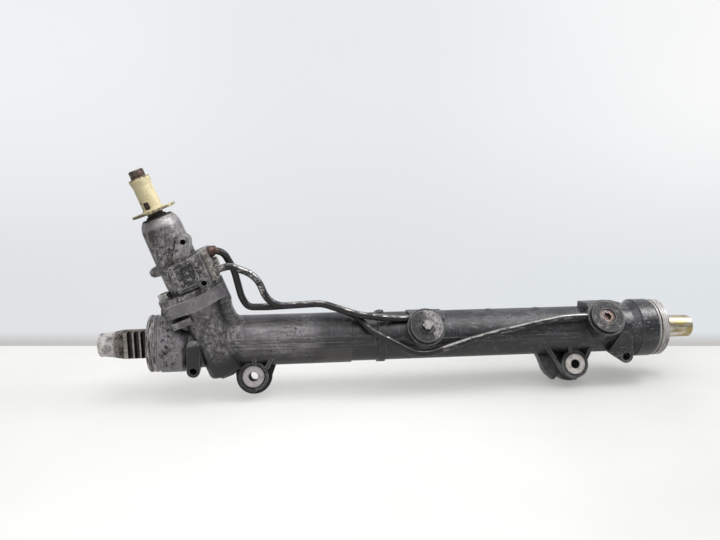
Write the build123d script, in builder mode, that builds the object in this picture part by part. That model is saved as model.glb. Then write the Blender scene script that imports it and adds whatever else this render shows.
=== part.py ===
"""Hydraulic power steering rack: gear housing with rotary valve tower, rack bar, piston and lines.

Millimetres. +X runs along the rack bar to the right, +Z is up and -Y is the toothed side.
The origin is on the rack bar's axis, in the middle of the left boot seat.
"""

from build123d import *
import math
import os

os.makedirs("parts", exist_ok=True)

# ---- driving dimensions ------------------------------------------------------------------

# rack bar
RACK_LEFT = -62.0
RACK_LENGTH = 717.0
BAR_R = 13.5
TOOTHED_R = 17.0
MODULE = 2.4
PRESSURE_ANGLE = 20.0
RACK_TEETH = 24
SPACES_LEFT_OF_PINION = 13
CREST_Y = -8.0
TOOTH_LAND = 3.0
TAPER = 20.0
THREAD_R = 6.2
THREAD_DEPTH = 28.0
TIP_CHAMFER = 1.5
CLIP_GROOVE = 1.6
CLIP_DEPTH = 1.1
RUN_OUT = 14.0
FLAT_LENGTH = 11.0
FLAT_HALF = 12.2

# pinion and its lean
LEAN = 21.0
PINION_X = 70.8
PINION_TEETH = 7
PROFILE_SHIFT = 0.5
FLANK_GAP = 0.16
TIP_GAP = 0.6
TOOTHED_HALF = 17.0
END_NECK = 2.5
JOURNAL_R = 9.5
STUB_R = 6.0
TOOTH_SECTIONS = 13
NUT_HEIGHT = 4.0
COLLAR_LOW_R = 7.6
NUT_R = 9.0
BALL_R = 2.3
SHOULDER = 1.6
BALLS = 8

# bearings
CUP_WALL = 1.0
NEEDLES = 12

# piston and cylinder
CYLINDER_R = 21.0
PISTON_X = 409.8
PISTON_WIDTH = 13.0
PISTON_GAP = 0.25
RING_WIDTH = 4.0
RING_DEPTH = 2.6
RING_THICK = 1.6
CLIP_RISE = 2.4
SLIDE_GAP = 0.06
SEAT_GAP = 0.02

# rack housing
HOUSING_LEFT = -5.0
HOUSING_RIGHT = 611.5
BOOT_SEAT_R = 33.0
LEFT_DRUM_R = 33.8
LEFT_DRUM_END = 33.0
TUBE_R = 28.5
THICK_TUBE_R = 29.8
THICK_TUBE_END = 226.0
RIB_X = 256.0
RIB_WIDTH = 11.0
RIGHT_DRUM_X = 576.0
RIGHT_DRUM_R = 35.5
RIGHT_DRUM_STEP = 1.8
RIGHT_SEAT_R = 34.7
RIGHT_SEAT_WIDTH = 13.0
NECK_R = 30.0
BALL_BORE_R = 26.5
BALL_BORE_DEPTH = 36.0
RIGHT_BORE_DEPTH = 25.0
RACK_BORE_R = 17.8
CORED_BORE_R = 23.0
SEAL_STEP_X = 294.0
RETAINER = 2.0
RETAINER_EDGE = 3.2
RETAINER_RISE = 1.3
SEAT_HALF = 4.0
BEAD_HALF = 1.8
BEAD_DEPTH = 2.0
RIGHT_BEAD_DEPTH = 3.0
EDGE = 1.0
LEDGE_LEFT = 86.0
LEDGE_MIDDLE = 253.0
LEDGE_RIGHT = 500.0
LEDGE_LOW_OUT = 0.6
LEDGE_LOW_Z = -1.0
LEDGE_STEP_Z = 4.3
LEDGE_TOP_Z = 10.3
LEDGE_OUT = 2.4
LEDGE_STEP = 1.4
ARM_FRONT = 32.0
LEFT_ARM = 26.0
LEFT_ARM_R = 7.4
LEFT_ARM_HOLE = (45.6, -24.6)
LEFT_ARM_HOLE_R = 4.1
LEFT_ARM_HOLE_DEPTH = 15.0
RIGHT_ARM = 24.0
RIGHT_ARM_R = 8.2
RIGHT_BOSS_HOLE = (559.6, -26.5)
RIGHT_BOSS_HOLE_R = 5.0
RIGHT_BEAD_DOWN = 9.0

# mounting bushes
MOUNT_X = (112.0, 498.0)
MOUNT_FRONT_Y = -25.0
MOUNT_FRONT_Z = -36.0
MOUNT_TILT = 18.0
BOSS_LENGTH = 41.0
BOSS_R = 16.8
BOSS_WEB_R = 21.0
BUSH_R = 14.0
SLEEVE_R = 8.6
SLEEVE_FACE_R = 12.2
SLEEVE_FACE = 2.5
MOUNT_BOLT_R = 5.25
MOUNT_WEB_FRONT = -17.0
MOUNT_WEB = 11.0
STRUT = 4.4
MOUNT_STRUT_FRONT = 25.5
MOUNT_STRUT = 28.0
SLEEVE_PROUD = 1.0
RUBBER_INSET = 2.5

# ports in the cylinder
PORT_X = (312.5, 529.0)
PORT_TURN = (32.0, 36.0)
PORT_BOSS_R = 22.5
PORT_BOSS_TOP = (34.6, 41.5)
PORT_CAP_R = 19.5
PORT_CAP_THICK = 4.0
PORT_CAP_GAP = 0.6
PORT_SPIGOT_R = 12.0
PORT_SPIGOT = 7.0
PORT_PASSAGE_R = 4.0
CAP_KNOB_R = 8.0
CAP_KNOB = 1.4
CAP_SCREW_R = 4.0
CAP_SCREW_DEPTH = 10.0
SCREW_HEAD_R = 6.4
SCREW_HEAD = 3.6
CAP_DISH_R = 9.5
CAP_DISH = 1.6
CAP_SOCKET_R = 5.0
CAP_SOCKET = 4.0
CAP_SEAL_WIDTH = 2.2
CAP_SEAL_DEPTH = 1.6
CAP_SEAL_DOWN = 4.8
BLOCK_X = ((294.0, 335.0), (511.0, 553.0))
BLOCK_TOP = (32.4, 37.5)

# rack yoke
YOKE_R = 19.0
YOKE_BOSS_R = 26.0
YOKE_BOSS_Y = 50.0
LOCK_NUT = 9.0
YOKE_FRONT = 7.0
YOKE_BACK = 36.0
YOKE_POCKET_R = 10.4
YOKE_POCKET = 9.0
PAD_THICK = 0.7
PAD_HALF = 10.0
RING_Y = 26.0
PLUG_FACE = 40.0
YOKE_PLUG_END = 57.0
LOCK_NUT_R = 26.0
YOKE_SOCKET_R = 12.0
YOKE_SOCKET = 8.0
SPRING_R = 8.6
SPRING_WIRE_R = 1.3
SPRING_PITCH = 4.4

# heights up the pinion tower, from the pinion's middle
BARREL_R = 21.0
BARREL_FOOT = -33.0
BEARING_R = 14.0
BEARING_FOOT = -29.5
BEARING_WIDTH = 8.0
CAVITY_R = 12.6
UPPER_BEARING = 22.0
UPPER_BEARING_LENGTH = 13.0
UPPER_BEARING_R = 13.0
PINION_SEAL = 37.0
PINION_SEAL_LENGTH = 6.0
PINION_SEAL_R = 15.0
SPIGOT_FOOT = 53.0
SPIGOT_R = 20.4
JOINT_FACE = 65.4
FLANGE_FOOT = 51.0
FLANGE_R = 26.5
VALVE_FLANGE = 7.0
FLANGE_LUG_R = 9.5
FLANGE_LUGS = ((-26.5, -9.0), (28.0, 4.0))
FLANGE_BOLT_R = 4.0
FLANGE_WEB = 9.0
PLUG_R = 14.6
BOLT_THREAD = 12.0
DEEP_LUG = 21.0
SPOT_FACE = 8.0
BOLT_HEAD_R = 7.4
BOLT_HEAD = 6.0
BOLT_FLANGE_R = 8.6
BOLT_FLANGE = 1.5
BOLT_ROOM = 10.0
BOLT_GAP = 0.4
JOINT_RING = 59.0
JOINT_RING_WIDTH = 2.5
JOINT_RING_DEPTH = 1.5
PLUG_HEX_R = 13.0
PLUG_CAVITY_R = 9.7
VALVE_BODY_R = 22.5
VALVE_WAIST = 112.0
VALVE_HEAD_R = 21.5
VALVE_TOP_R = 17.0
VALVE_BORE_R = 17.1
VALVE_BORE_TOP = 121.0
VALVE_BEARING_R = 12.4
VALVE_BEARING_LENGTH = 14.0
VALVE_BEARING_LIP = 1.4
SHAFT_SEAL_LENGTH = 7.0
SHAFT_SEAL_R = 13.6
SEAL_RETAINER_THICK = 1.2
DUST_SEAL_LENGTH = 8.4
DUST_SEAL_RIM = 1.2
DUST_SEAL_LIP = 3.5
HEAD_CROWN = 11.0

# port block, lugs and rear ports of the valve housing
BLOCK_RIGHT = 31.0
BLOCK_FRONT = 31.0
BLOCK_BACK = 9.0
POCKET_DEPTH = 2.0
CAST_ROUNDING = 2.0
VALVE_LINES = ((-4.2, 103.3), (-14.2, 83.2))
CLAMP_BOLT = (2.0, 90.5)
CLAMP_BOLT_R = 3.0
CLAMP_DEPTH = 12.0
CLAMP_HEAD_R = 5.6
CLAMP_HEAD = 4.2
PASSAGE_R = 2.5
REAR_PORT_W = (84.0, 104.0)
REAR_PORT_R = (7.0, 6.2)
REAR_BOSS_R = 11.0
REAR_BOSS = 30.0
REAR_THREAD = 12.0
EAR_HOLE_R = 3.1
EAR_HOLE = (19.6, 126.0)
EAR_R = 6.8
EAR_FRONT = 25.0
EAR_THICK = 19.0
SCREW_DEPTH = 13.0
SCREW_HOLE = (23.8, 77.8)
SCREW_BOSS_R = 5.8
SCREW_BOSS_FRONT = 34.0

# valve and input shaft
SLEEVE_FOOT = 58.0
SLEEVE_TOP = 117.0
SLEEVE_OUTER_R = 16.8
SPOOL_R = 10.5
PINION_HEAD_R = 13.0
PINION_HEAD = (47.0, 66.0)
TANG = (8.0, 15.0)
TANG_GAP = 0.9
INPUT_FOOT = 54.0
INPUT_JOURNAL_R = 9.0
INPUT_R = 8.6
INPUT_TIP_R = 8.0
TIP_LENGTH = 8.4
SERRATIONS = 24
BAR_TORSION_R = 2.6
TORSION_FOOT = -12.0
CONTROL_SLOTS = 6
SLOT_WIDTH = 4.2
SLOT_DEPTH = 1.6
SLOT_ENDS = 9.0
PIN_R = 1.5
SERRATION_DEPTH = 0.6
SEAL_GROOVES = 4
SEAL_GROOVE_WIDTH = 2.4
SEAL_GROOVE_DEPTH = 1.4
PORT_GROOVE_WIDTH = 6.0
PORT_GROOVE_DEPTH = 1.0
SLEEVE_PIN_R = 1.5
SLEEVE_HOLE_R = 1.4

# protective cap on the input shaft
CAP_CLEAR = 7.0
CAP_LENGTH = 39.2
CAP_R = 10.3
CAP_FLANGE_R = 23.8
CAP_FLANGE = 2.6
CAP_FLARE = 1.2
CAP_GAP = 0.25
SLOT_HEIGHT = 8.0
SLOT_LENGTH = 12.0

# steel lines
LINE_R = 4.0
LINE_LARGEST_BEND = 45.0
LINE_MOUTH_X = (294.0, 507.0)
LINE_PORT_Y = (-19.3, -27.5)
LINE_PORT_Z = (26.2, 24.8)
LINE_BORE_DEPTH = 8.0
PLATE_THICK = 3.0
FERRULE_R = 6.6
FERRULE = 2.5
FERRULE_CONE = 6.0
FERRULE_TAPER = 20.0

# seals
LIP = 2.2
SHELL = 1.5
INNER_SEAL = 8.0
BACKING_RING = 3.0
BUSHING_ROOM = 35.3
BUSHING_RING_DOWN = 15.3
RING_SECTION = 2.6

# ---- worked out from the driving dimensions ------------------------------------------------

PITCH = math.pi * MODULE
PITCH_Y = CREST_Y + MODULE
ROOT_Y = CREST_Y + 2 * MODULE
PITCH_R = PINION_TEETH * MODULE / (2 * math.cos(math.radians(LEAN)))
PINION_Y = PITCH_Y - PITCH_R - PROFILE_SHIFT * MODULE
PINION_ROOT_R = CREST_Y - PINION_Y - TIP_GAP
PINION_TIP_R = ROOT_Y - PINION_Y - TIP_GAP
RACK_RIGHT = RACK_LEFT + RACK_LENGTH
TEETH_MIDDLE = PINION_X + ((RACK_TEETH - 1) / 2 - SPACES_LEFT_OF_PINION) * PITCH
TEETH_LEFT = TEETH_MIDDLE - RACK_TEETH * PITCH / 2 - TOOTH_LAND
TEETH_RIGHT = TEETH_MIDDLE + RACK_TEETH * PITCH / 2 + TOOTH_LAND

PISTON_R = CYLINDER_R - PISTON_GAP
CUTTER_Y = -TOOTHED_R - 2.0
STUB_FOOT = BEARING_FOOT - NUT_HEIGHT - 0.5
COLLAR_FOOT = BEARING_FOOT + BEARING_WIDTH + 0.3
BALL_CIRCLE_R = (STUB_R + BEARING_R) / 2
RACE_R = BALL_R + SLIDE_GAP
PLUG_FOOT = STUB_FOOT - 2.6
SPOOL_FOOT = PINION_HEAD[1] + 1.0
SPOOL_TOP = SLEEVE_TOP + 1.0
SHAFT_SEAL = VALVE_BORE_TOP + VALVE_BEARING_LENGTH + 2.5
SEAL_RETAINER = SHAFT_SEAL + SHAFT_SEAL_LENGTH + 0.5
DUST_SEAL = SEAL_RETAINER + SEAL_RETAINER_THICK + 3.8
VALVE_TOP = DUST_SEAL + DUST_SEAL_LENGTH
PIN_HEIGHT = VALVE_TOP + 2.4
CAP_FOOT = VALVE_TOP + CAP_CLEAR
CAP_TOP = CAP_FOOT + CAP_LENGTH
TIP_SHOULDER = CAP_TOP + 0.4
INPUT_TIP = TIP_SHOULDER + TIP_LENGTH
SERRATION_FOOT = CAP_FOOT + 6.6
RETAINER_X = HOUSING_RIGHT - RIGHT_BORE_DEPTH - RETAINER_EDGE
END_SEAL_X = RETAINER_X - BUSHING_ROOM
BUSHING_RING_X = RETAINER_X - BUSHING_RING_DOWN
LINE_INSERT = LINE_BORE_DEPTH - 0.5
BUSHING_X = END_SEAL_X + INNER_SEAL

lean = math.radians(LEAN)
TOWER_UP = Vector(-math.sin(lean), 0, math.cos(lean))
TOWER_SIDE = Vector(math.cos(lean), 0, math.sin(lean))
TOWER_ORIGIN = Vector(PINION_X, PINION_Y, 0)
TOWER = Plane(origin=TOWER_ORIGIN, x_dir=TOWER_SIDE, z_dir=TOWER_UP)
TOWER_SECTION = Plane(origin=TOWER_ORIGIN, x_dir=TOWER_SIDE, z_dir=(0, -1, 0))
TOWER_AXIS = Axis(TOWER_ORIGIN, TOWER_UP)

tilt = math.radians(MOUNT_TILT)
MOUNT_OUT = Vector(0, -math.cos(tilt), math.sin(tilt))


def mount_plane(x):
    """Front face of a mounting boss, looking out along its bolt."""
    return Plane(origin=(x, MOUNT_FRONT_Y, MOUNT_FRONT_Z), x_dir=(1, 0, 0), z_dir=MOUNT_OUT)


def port_plane(index):
    """Plane across a cylinder port, with its origin on the rack axis."""
    turn = math.radians(PORT_TURN[index])
    out = (0, -math.cos(turn), math.sin(turn))
    return Plane(origin=(PORT_X[index], 0, 0), x_dir=(1, 0, 0), z_dir=out)


def across(x):
    """Plane across the rack bar at x, looking to the right."""
    return Plane(origin=(x, 0, 0), x_dir=(0, 1, 0), z_dir=(1, 0, 0))


def turn_profile(points, plane=Plane.XZ, axis=Axis.X, mode=Mode.ADD):
    """Turns a closed profile of (length, radius) or (radius, height) points about an axis."""
    with BuildSketch(plane) as profile:
        with BuildLine():
            Polyline(*points, close=True)
        make_face()
    revolve(profile.sketch, axis=axis, mode=mode)


def turn_along_x(steps, mode=Mode.ADD):
    """Turned body on the rack axis, from (x, radius) steps."""
    points = [(steps[0][0], 0)] + list(steps) + [(steps[-1][0], 0)]
    turn_profile(points, mode=mode)


def turn_up_tower(steps, mode=Mode.ADD):
    """Turned body on the tower axis, from (radius, height) steps."""
    points = [(0, steps[0][1])] + list(steps) + [(0, steps[-1][1])]
    turn_profile(points, TOWER_SECTION, TOWER_AXIS, mode)


def ring_up_tower(foot, length, outer, inner, mode=Mode.ADD):
    """Plain ring on the tower axis."""
    with BuildSketch(TOWER.offset(foot)) as section:
        Circle(outer)
        Circle(inner, mode=Mode.SUBTRACT)
    extrude(section.sketch, amount=length, mode=mode)


def ring_along_x(left, length, outer, inner, mode=Mode.ADD):
    """Plain ring on the rack axis."""
    with BuildSketch(across(left)) as section:
        Circle(outer)
        Circle(inner, mode=Mode.SUBTRACT)
    extrude(section.sketch, amount=length, mode=mode)


def disc(plane, radius, amount, centre=(0, 0), mode=Mode.ADD):
    """Round boss or hole that stands on a plane."""
    with BuildSketch(plane) as section:
        with Locations(centre):
            Circle(radius)
    extrude(section.sketch, amount=amount, mode=mode)


def plate(plane, points, amount, both=False, rounding=0, mode=Mode.ADD):
    """Flat web or rib with a straight-sided outline and, if asked for, rounded corners."""
    with BuildSketch(plane) as section:
        with BuildLine():
            Polyline(*points, close=True)
        make_face()
        if rounding:
            fillet(section.vertices(), rounding)
    extrude(section.sketch, amount=amount, both=both, mode=mode)


def save(piece, name):
    """Labels a finished piece and writes its file."""
    piece.part.label = name
    export_step(piece.part, f"parts/{name}.step")


# ---- rack bar and piston -------------------------------------------------------------------

piston_left = PISTON_X - PISTON_WIDTH / 2
piston_right = PISTON_X + PISTON_WIDTH / 2
half_space = PITCH / 4 + FLANK_GAP / math.cos(math.radians(PRESSURE_ANGLE))
flank_rise = MODULE * math.tan(math.radians(PRESSURE_ANGLE))

with BuildPart() as rack_bar:
    groove_r = BAR_R - CLIP_DEPTH
    turn_along_x([
        (RACK_LEFT, BAR_R - TIP_CHAMFER),
        (RACK_LEFT + TIP_CHAMFER, BAR_R),
        (TEETH_LEFT - TAPER, BAR_R),
        (TEETH_LEFT, TOOTHED_R),
        (TEETH_RIGHT, TOOTHED_R),
        (TEETH_RIGHT + TAPER, BAR_R),
        (piston_left - CLIP_GROOVE, BAR_R),
        (piston_left - CLIP_GROOVE, groove_r),
        (piston_left, groove_r),
        (piston_left, BAR_R),
        (piston_right, BAR_R),
        (piston_right, groove_r),
        (piston_right + CLIP_GROOVE, groove_r),
        (piston_right + CLIP_GROOVE, BAR_R),
        (RACK_RIGHT - TIP_CHAMFER, BAR_R),
        (RACK_RIGHT, BAR_R - TIP_CHAMFER),
    ])
    # milled land that the teeth are cut in, running out at both ends
    plate(
        Plane.XY,
        [
            (TEETH_LEFT - RUN_OUT, CUTTER_Y),
            (TEETH_LEFT, CREST_Y),
            (TEETH_RIGHT, CREST_Y),
            (TEETH_RIGHT + RUN_OUT, CUTTER_Y),
        ],
        TOOTHED_R + 1,
        both=True,
        mode=Mode.SUBTRACT,
    )
    # straight-cut spaces of the basic rack
    with BuildSketch(Plane.XY) as spaces:
        with Locations((TEETH_MIDDLE, 0)):
            with GridLocations(PITCH, 0, RACK_TEETH, 1):
                Polygon(
                    (-half_space - flank_rise, CREST_Y),
                    (-half_space + flank_rise, ROOT_Y),
                    (half_space - flank_rise, ROOT_Y),
                    (half_space + flank_rise, CREST_Y),
                    (half_space + flank_rise, CREST_Y - 1),
                    (-half_space - flank_rise, CREST_Y - 1),
                    align=None,
                )
    extrude(spaces.sketch, amount=TOOTHED_R + 1, both=True, mode=Mode.SUBTRACT)
    # tie rod threads in both ends, and spanner flats on the right end
    disc(across(RACK_LEFT), THREAD_R, THREAD_DEPTH, mode=Mode.SUBTRACT)
    disc(across(RACK_RIGHT), THREAD_R, -THREAD_DEPTH, mode=Mode.SUBTRACT)
    with BuildSketch(across(RACK_RIGHT)) as flats:
        Rectangle(3 * BAR_R, 3 * BAR_R)
        Rectangle(3 * BAR_R, 2 * FLAT_HALF, mode=Mode.SUBTRACT)
    extrude(flats.sketch, amount=-FLAT_LENGTH, mode=Mode.SUBTRACT)
save(rack_bar, "rack_bar")

ring_outer = CYLINDER_R - SLIDE_GAP
with BuildPart() as piston:
    ring_along_x(piston_left, PISTON_WIDTH, PISTON_R, BAR_R + SEAT_GAP)
    chamfer(piston.edges().filter_by(GeomType.CIRCLE).sort_by(SortBy.RADIUS)[-2:], 1.0)
    ring_along_x(PISTON_X - RING_WIDTH / 2, RING_WIDTH, PISTON_R + 1, PISTON_R - RING_DEPTH,
                 Mode.SUBTRACT)
save(piston, "piston")

with BuildPart() as piston_ring:
    ring_along_x(PISTON_X - RING_WIDTH / 2 + SEAT_GAP, RING_WIDTH - 2 * SEAT_GAP, ring_outer,
                 ring_outer - RING_THICK)
save(piston_ring, "piston_ring")

with BuildPart() as piston_o_ring:
    ring_along_x(PISTON_X - RING_WIDTH / 2 + 0.4, RING_WIDTH - 0.8,
                 ring_outer - RING_THICK - SEAT_GAP, PISTON_R - RING_DEPTH + SEAT_GAP)
save(piston_o_ring, "piston_o_ring")

with BuildPart() as piston_clips:
    for left in (piston_left - CLIP_GROOVE, piston_right):
        ring_along_x(left + SEAT_GAP, CLIP_GROOVE - 2 * SEAT_GAP, BAR_R + CLIP_RISE,
                     BAR_R - CLIP_DEPTH + SEAT_GAP)
save(piston_clips, "piston_clips")


# ---- pinion, valve and input shaft ---------------------------------------------------------

base_angle = math.atan(math.tan(math.radians(PRESSURE_ANGLE)) / math.cos(lean))
BASE_R = PITCH_R * math.cos(base_angle)
TWIST_PER_MM = math.degrees(math.tan(lean) / PITCH_R)
transverse_module = MODULE / math.cos(lean)


def involute(angle):
    return math.tan(angle) - angle


def tooth_half_angle(radius):
    """Half the angle that a pinion tooth fills at a radius, less its share of the backlash."""
    thick = math.pi / 2 + 2 * PROFILE_SHIFT * math.tan(math.radians(PRESSURE_ANGLE))
    half = thick * transverse_module / (2 * PITCH_R)
    gap = FLANK_GAP / BASE_R
    if radius <= BASE_R:
        return half + involute(base_angle) - gap
    return half + involute(base_angle) - involute(math.acos(BASE_R / radius)) - gap


def tooth_point(radius, tooth, side):
    """Point on one flank of one tooth. Tooth 0 points at the rack."""
    angle = math.pi / 2 + 2 * math.pi * tooth / PINION_TEETH + side * tooth_half_angle(radius)
    return (radius * math.cos(angle), radius * math.sin(angle))


def turned_section(height, turn):
    """Plane across the tower, turned by some degrees about the tower's axis."""
    angle = math.radians(turn)
    across_rack = TOWER_SIDE * math.cos(angle) + Vector(0, 1, 0) * math.sin(angle)
    return Plane(origin=TOWER_ORIGIN + TOWER_UP * height, x_dir=across_rack, z_dir=TOWER_UP)


def pinion_outline():
    """Closed outline of the pinion across its own axis."""
    flank = [PINION_ROOT_R, BASE_R, (BASE_R + PINION_TIP_R) / 2, PINION_TIP_R]
    points = []
    for tooth in range(PINION_TEETH):
        points += [tooth_point(radius, tooth, -1) for radius in flank]
        points += [tooth_point(radius, tooth, 1) for radius in reversed(flank)]
    return points


head_foot, head_top = PINION_HEAD
tang_thick, tang_wide = TANG
with BuildPart() as pinion:
    # helical teeth, lofted through sections that turn as they climb
    for section in range(TOOTH_SECTIONS):
        height = -TOOTHED_HALF + 2 * TOOTHED_HALF * section / (TOOTH_SECTIONS - 1)
        with BuildSketch(turned_section(height, -TWIST_PER_MM * height)):
            with BuildLine():
                Polyline(*pinion_outline(), close=True)
            make_face()
    loft(ruled=True)
    turn_up_tower([
        (STUB_R, STUB_FOOT),
        (STUB_R, COLLAR_FOOT),
        (COLLAR_LOW_R, COLLAR_FOOT),
        (COLLAR_LOW_R, -TOOTHED_HALF + SEAT_GAP),
    ])
    turn_up_tower([
        (PINION_ROOT_R, TOOTHED_HALF - SEAT_GAP),
        (PINION_ROOT_R, TOOTHED_HALF + END_NECK),
        (JOURNAL_R, TOOTHED_HALF + END_NECK),
        (JOURNAL_R, head_foot),
        (PINION_HEAD_R, head_foot + PINION_HEAD_R - JOURNAL_R),
        (PINION_HEAD_R, head_top),
    ])
    # bore for the torsion bar, and the slot that stops the input shaft's tang
    disc(TOWER.offset(TORSION_FOOT - 2), BAR_TORSION_R + SLIDE_GAP, head_top - TORSION_FOOT,
         mode=Mode.SUBTRACT)
    with BuildSketch(TOWER.offset(INPUT_FOOT - 1)) as stop_slot:
        Rectangle(tang_wide + TANG_GAP, tang_thick + 2 * TANG_GAP)
    extrude(stop_slot.sketch, amount=head_top, mode=Mode.SUBTRACT)
save(pinion, "pinion")

with BuildPart() as pinion_nut:
    with BuildSketch(TOWER.offset(BEARING_FOOT - NUT_HEIGHT - SEAT_GAP)):
        RegularPolygon(NUT_R, 6)
        Circle(STUB_R + SEAT_GAP, mode=Mode.SUBTRACT)
    extrude(amount=NUT_HEIGHT)
save(pinion_nut, "pinion_nut")

bearing_middle = BEARING_FOOT + BEARING_WIDTH / 2


def race_ring(name, inner, outer):
    """Ring of the pinion's ball bearing, with the ball track turned in it."""
    with BuildPart() as ring:
        with BuildSketch(TOWER_SECTION) as section:
            with Locations(((inner + outer) / 2, bearing_middle)):
                Rectangle(outer - inner, BEARING_WIDTH)
            with Locations((BALL_CIRCLE_R, bearing_middle)):
                Circle(RACE_R, mode=Mode.SUBTRACT)
        revolve(section.sketch, axis=TOWER_AXIS)
    save(ring, name)


race_ring("bearing_inner_ring", STUB_R + SEAT_GAP, BALL_CIRCLE_R - SHOULDER)
race_ring("bearing_outer_ring", BALL_CIRCLE_R + SHOULDER, BEARING_R - SEAT_GAP)

with BuildPart() as bearing_balls:
    with Locations(TOWER.offset(bearing_middle)):
        with PolarLocations(BALL_CIRCLE_R, BALLS):
            Sphere(BALL_R)
save(bearing_balls, "bearing_balls")


def needle_bearing(name, foot, length, outer, journal):
    """Drawn cup with a ring of needles round a journal, as two files."""
    needle_r = (outer - CUP_WALL - journal - 2 * SLIDE_GAP) / 2
    with BuildPart() as cup:
        ring_up_tower(foot, length, outer - SEAT_GAP, outer - CUP_WALL)
    save(cup, f"{name}_cup")
    with BuildPart() as needles:
        with BuildSketch(TOWER.offset(foot + 1)):
            with PolarLocations(journal + SLIDE_GAP + needle_r, NEEDLES):
                Circle(needle_r)
        extrude(amount=length - 2)
    save(needles, f"{name}_needles")


needle_bearing("pinion_bearing", UPPER_BEARING, UPPER_BEARING_LENGTH, UPPER_BEARING_R, JOURNAL_R)
needle_bearing("shaft_bearing", VALVE_BORE_TOP, VALVE_BEARING_LENGTH, VALVE_BEARING_R,
               INPUT_JOURNAL_R)

with BuildPart() as input_shaft:
    with BuildSketch(TOWER.offset(INPUT_FOOT)) as tang:
        Rectangle(tang_wide, tang_thick)
    extrude(tang.sketch, amount=SPOOL_FOOT - INPUT_FOOT + 1)
    turn_up_tower([
        (SPOOL_R - 1, SPOOL_FOOT),
        (SPOOL_R, SPOOL_FOOT + 1),
        (SPOOL_R, SPOOL_TOP),
        (INPUT_JOURNAL_R, SPOOL_TOP + 1.5),
        (INPUT_JOURNAL_R, SHAFT_SEAL + SHAFT_SEAL_LENGTH + 1),
        (INPUT_R, SHAFT_SEAL + SHAFT_SEAL_LENGTH + 2),
        (INPUT_R, TIP_SHOULDER),
        (INPUT_TIP_R, TIP_SHOULDER),
        (INPUT_TIP_R, INPUT_TIP - 1),
        (INPUT_TIP_R - 1, INPUT_TIP),
    ])
    # control slots of the valve spool
    with BuildSketch(TOWER.offset(SPOOL_FOOT + SLOT_ENDS)) as slots:
        with PolarLocations(SPOOL_R, CONTROL_SLOTS):
            Rectangle(2 * SLOT_DEPTH, SLOT_WIDTH)
    extrude(slots.sketch, amount=SPOOL_TOP - SPOOL_FOOT - 2 * SLOT_ENDS, mode=Mode.SUBTRACT)
    # serrations that the steering column's joint clamps on
    with BuildSketch(TOWER.offset(SERRATION_FOOT)) as serration:
        with PolarLocations(INPUT_R, SERRATIONS):
            Polygon((-SERRATION_DEPTH, 0), (1, 0.9), (1, -0.9), align=None)
    extrude(serration.sketch, amount=TIP_SHOULDER - SERRATION_FOOT + 1, mode=Mode.SUBTRACT)
    # bore for the torsion bar, and its cross pin
    disc(TOWER.offset(INPUT_FOOT - 1), BAR_TORSION_R + SEAT_GAP, TIP_SHOULDER - INPUT_FOOT,
         mode=Mode.SUBTRACT)
    with Locations(TOWER.offset(PIN_HEIGHT)):
        Cylinder(PIN_R + SEAT_GAP, 3 * INPUT_R, rotation=(90, 0, 0), mode=Mode.SUBTRACT)
save(input_shaft, "input_shaft")

with BuildPart() as torsion_bar:
    disc(TOWER.offset(TORSION_FOOT), BAR_TORSION_R, TIP_SHOULDER - 4 - TORSION_FOOT)
    with Locations(TOWER.offset(PIN_HEIGHT)):
        Cylinder(PIN_R + SEAT_GAP, 3 * INPUT_R, rotation=(90, 0, 0), mode=Mode.SUBTRACT)
save(torsion_bar, "torsion_bar")

with BuildPart() as torsion_bar_pin:
    with Locations(TOWER.offset(PIN_HEIGHT)):
        Cylinder(PIN_R, 2 * INPUT_R - 1, rotation=(90, 0, 0))
save(torsion_bar_pin, "torsion_bar_pin")

sleeve_pin_height = (SLEEVE_FOOT + head_top) / 2
groove_step = (SLEEVE_TOP - head_top - 6) / (SEAL_GROOVES - 1)
groove_heights = [head_top + 3 + groove_step * number for number in range(SEAL_GROOVES)]
with BuildPart() as valve_sleeve:
    ring_up_tower(SLEEVE_FOOT, SLEEVE_TOP - SLEEVE_FOOT, SLEEVE_OUTER_R, SPOOL_R + SLIDE_GAP)
    disc(TOWER.offset(SLEEVE_FOOT), PINION_HEAD_R + SEAT_GAP, head_top + 0.5 - SLEEVE_FOOT,
         mode=Mode.SUBTRACT)
    for height in groove_heights:
        ring_up_tower(height - SEAL_GROOVE_WIDTH / 2, SEAL_GROOVE_WIDTH, SLEEVE_OUTER_R + 1,
                      SLEEVE_OUTER_R - SEAL_GROOVE_DEPTH, Mode.SUBTRACT)
    for height in groove_heights[:-1]:
        ring_up_tower(height + (groove_step - PORT_GROOVE_WIDTH) / 2, PORT_GROOVE_WIDTH,
                      SLEEVE_OUTER_R + 1, SLEEVE_OUTER_R - PORT_GROOVE_DEPTH, Mode.SUBTRACT)
        with Locations(TOWER.offset(height + groove_step / 2)):
            with PolarLocations(SLEEVE_OUTER_R, 3):
                Cylinder(SLEEVE_HOLE_R, 2 * (SLEEVE_OUTER_R - SPOOL_R) + 2, rotation=(0, 90, 0),
                         mode=Mode.SUBTRACT)
    with Locations(TOWER.offset(sleeve_pin_height)):
        with PolarLocations(SLEEVE_OUTER_R, 1):
            Cylinder(SLEEVE_PIN_R + SEAT_GAP, 12, rotation=(0, 90, 0), mode=Mode.SUBTRACT)
save(valve_sleeve, "valve_sleeve")

with BuildPart() as sleeve_pin:
    with Locations(TOWER.offset(sleeve_pin_height)):
        with PolarLocations((PINION_HEAD_R + SLEEVE_OUTER_R) / 2, 1):
            Cylinder(SLEEVE_PIN_R, SLEEVE_OUTER_R - PINION_HEAD_R - 0.4, rotation=(0, 90, 0))
save(sleeve_pin, "sleeve_pin")

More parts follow.
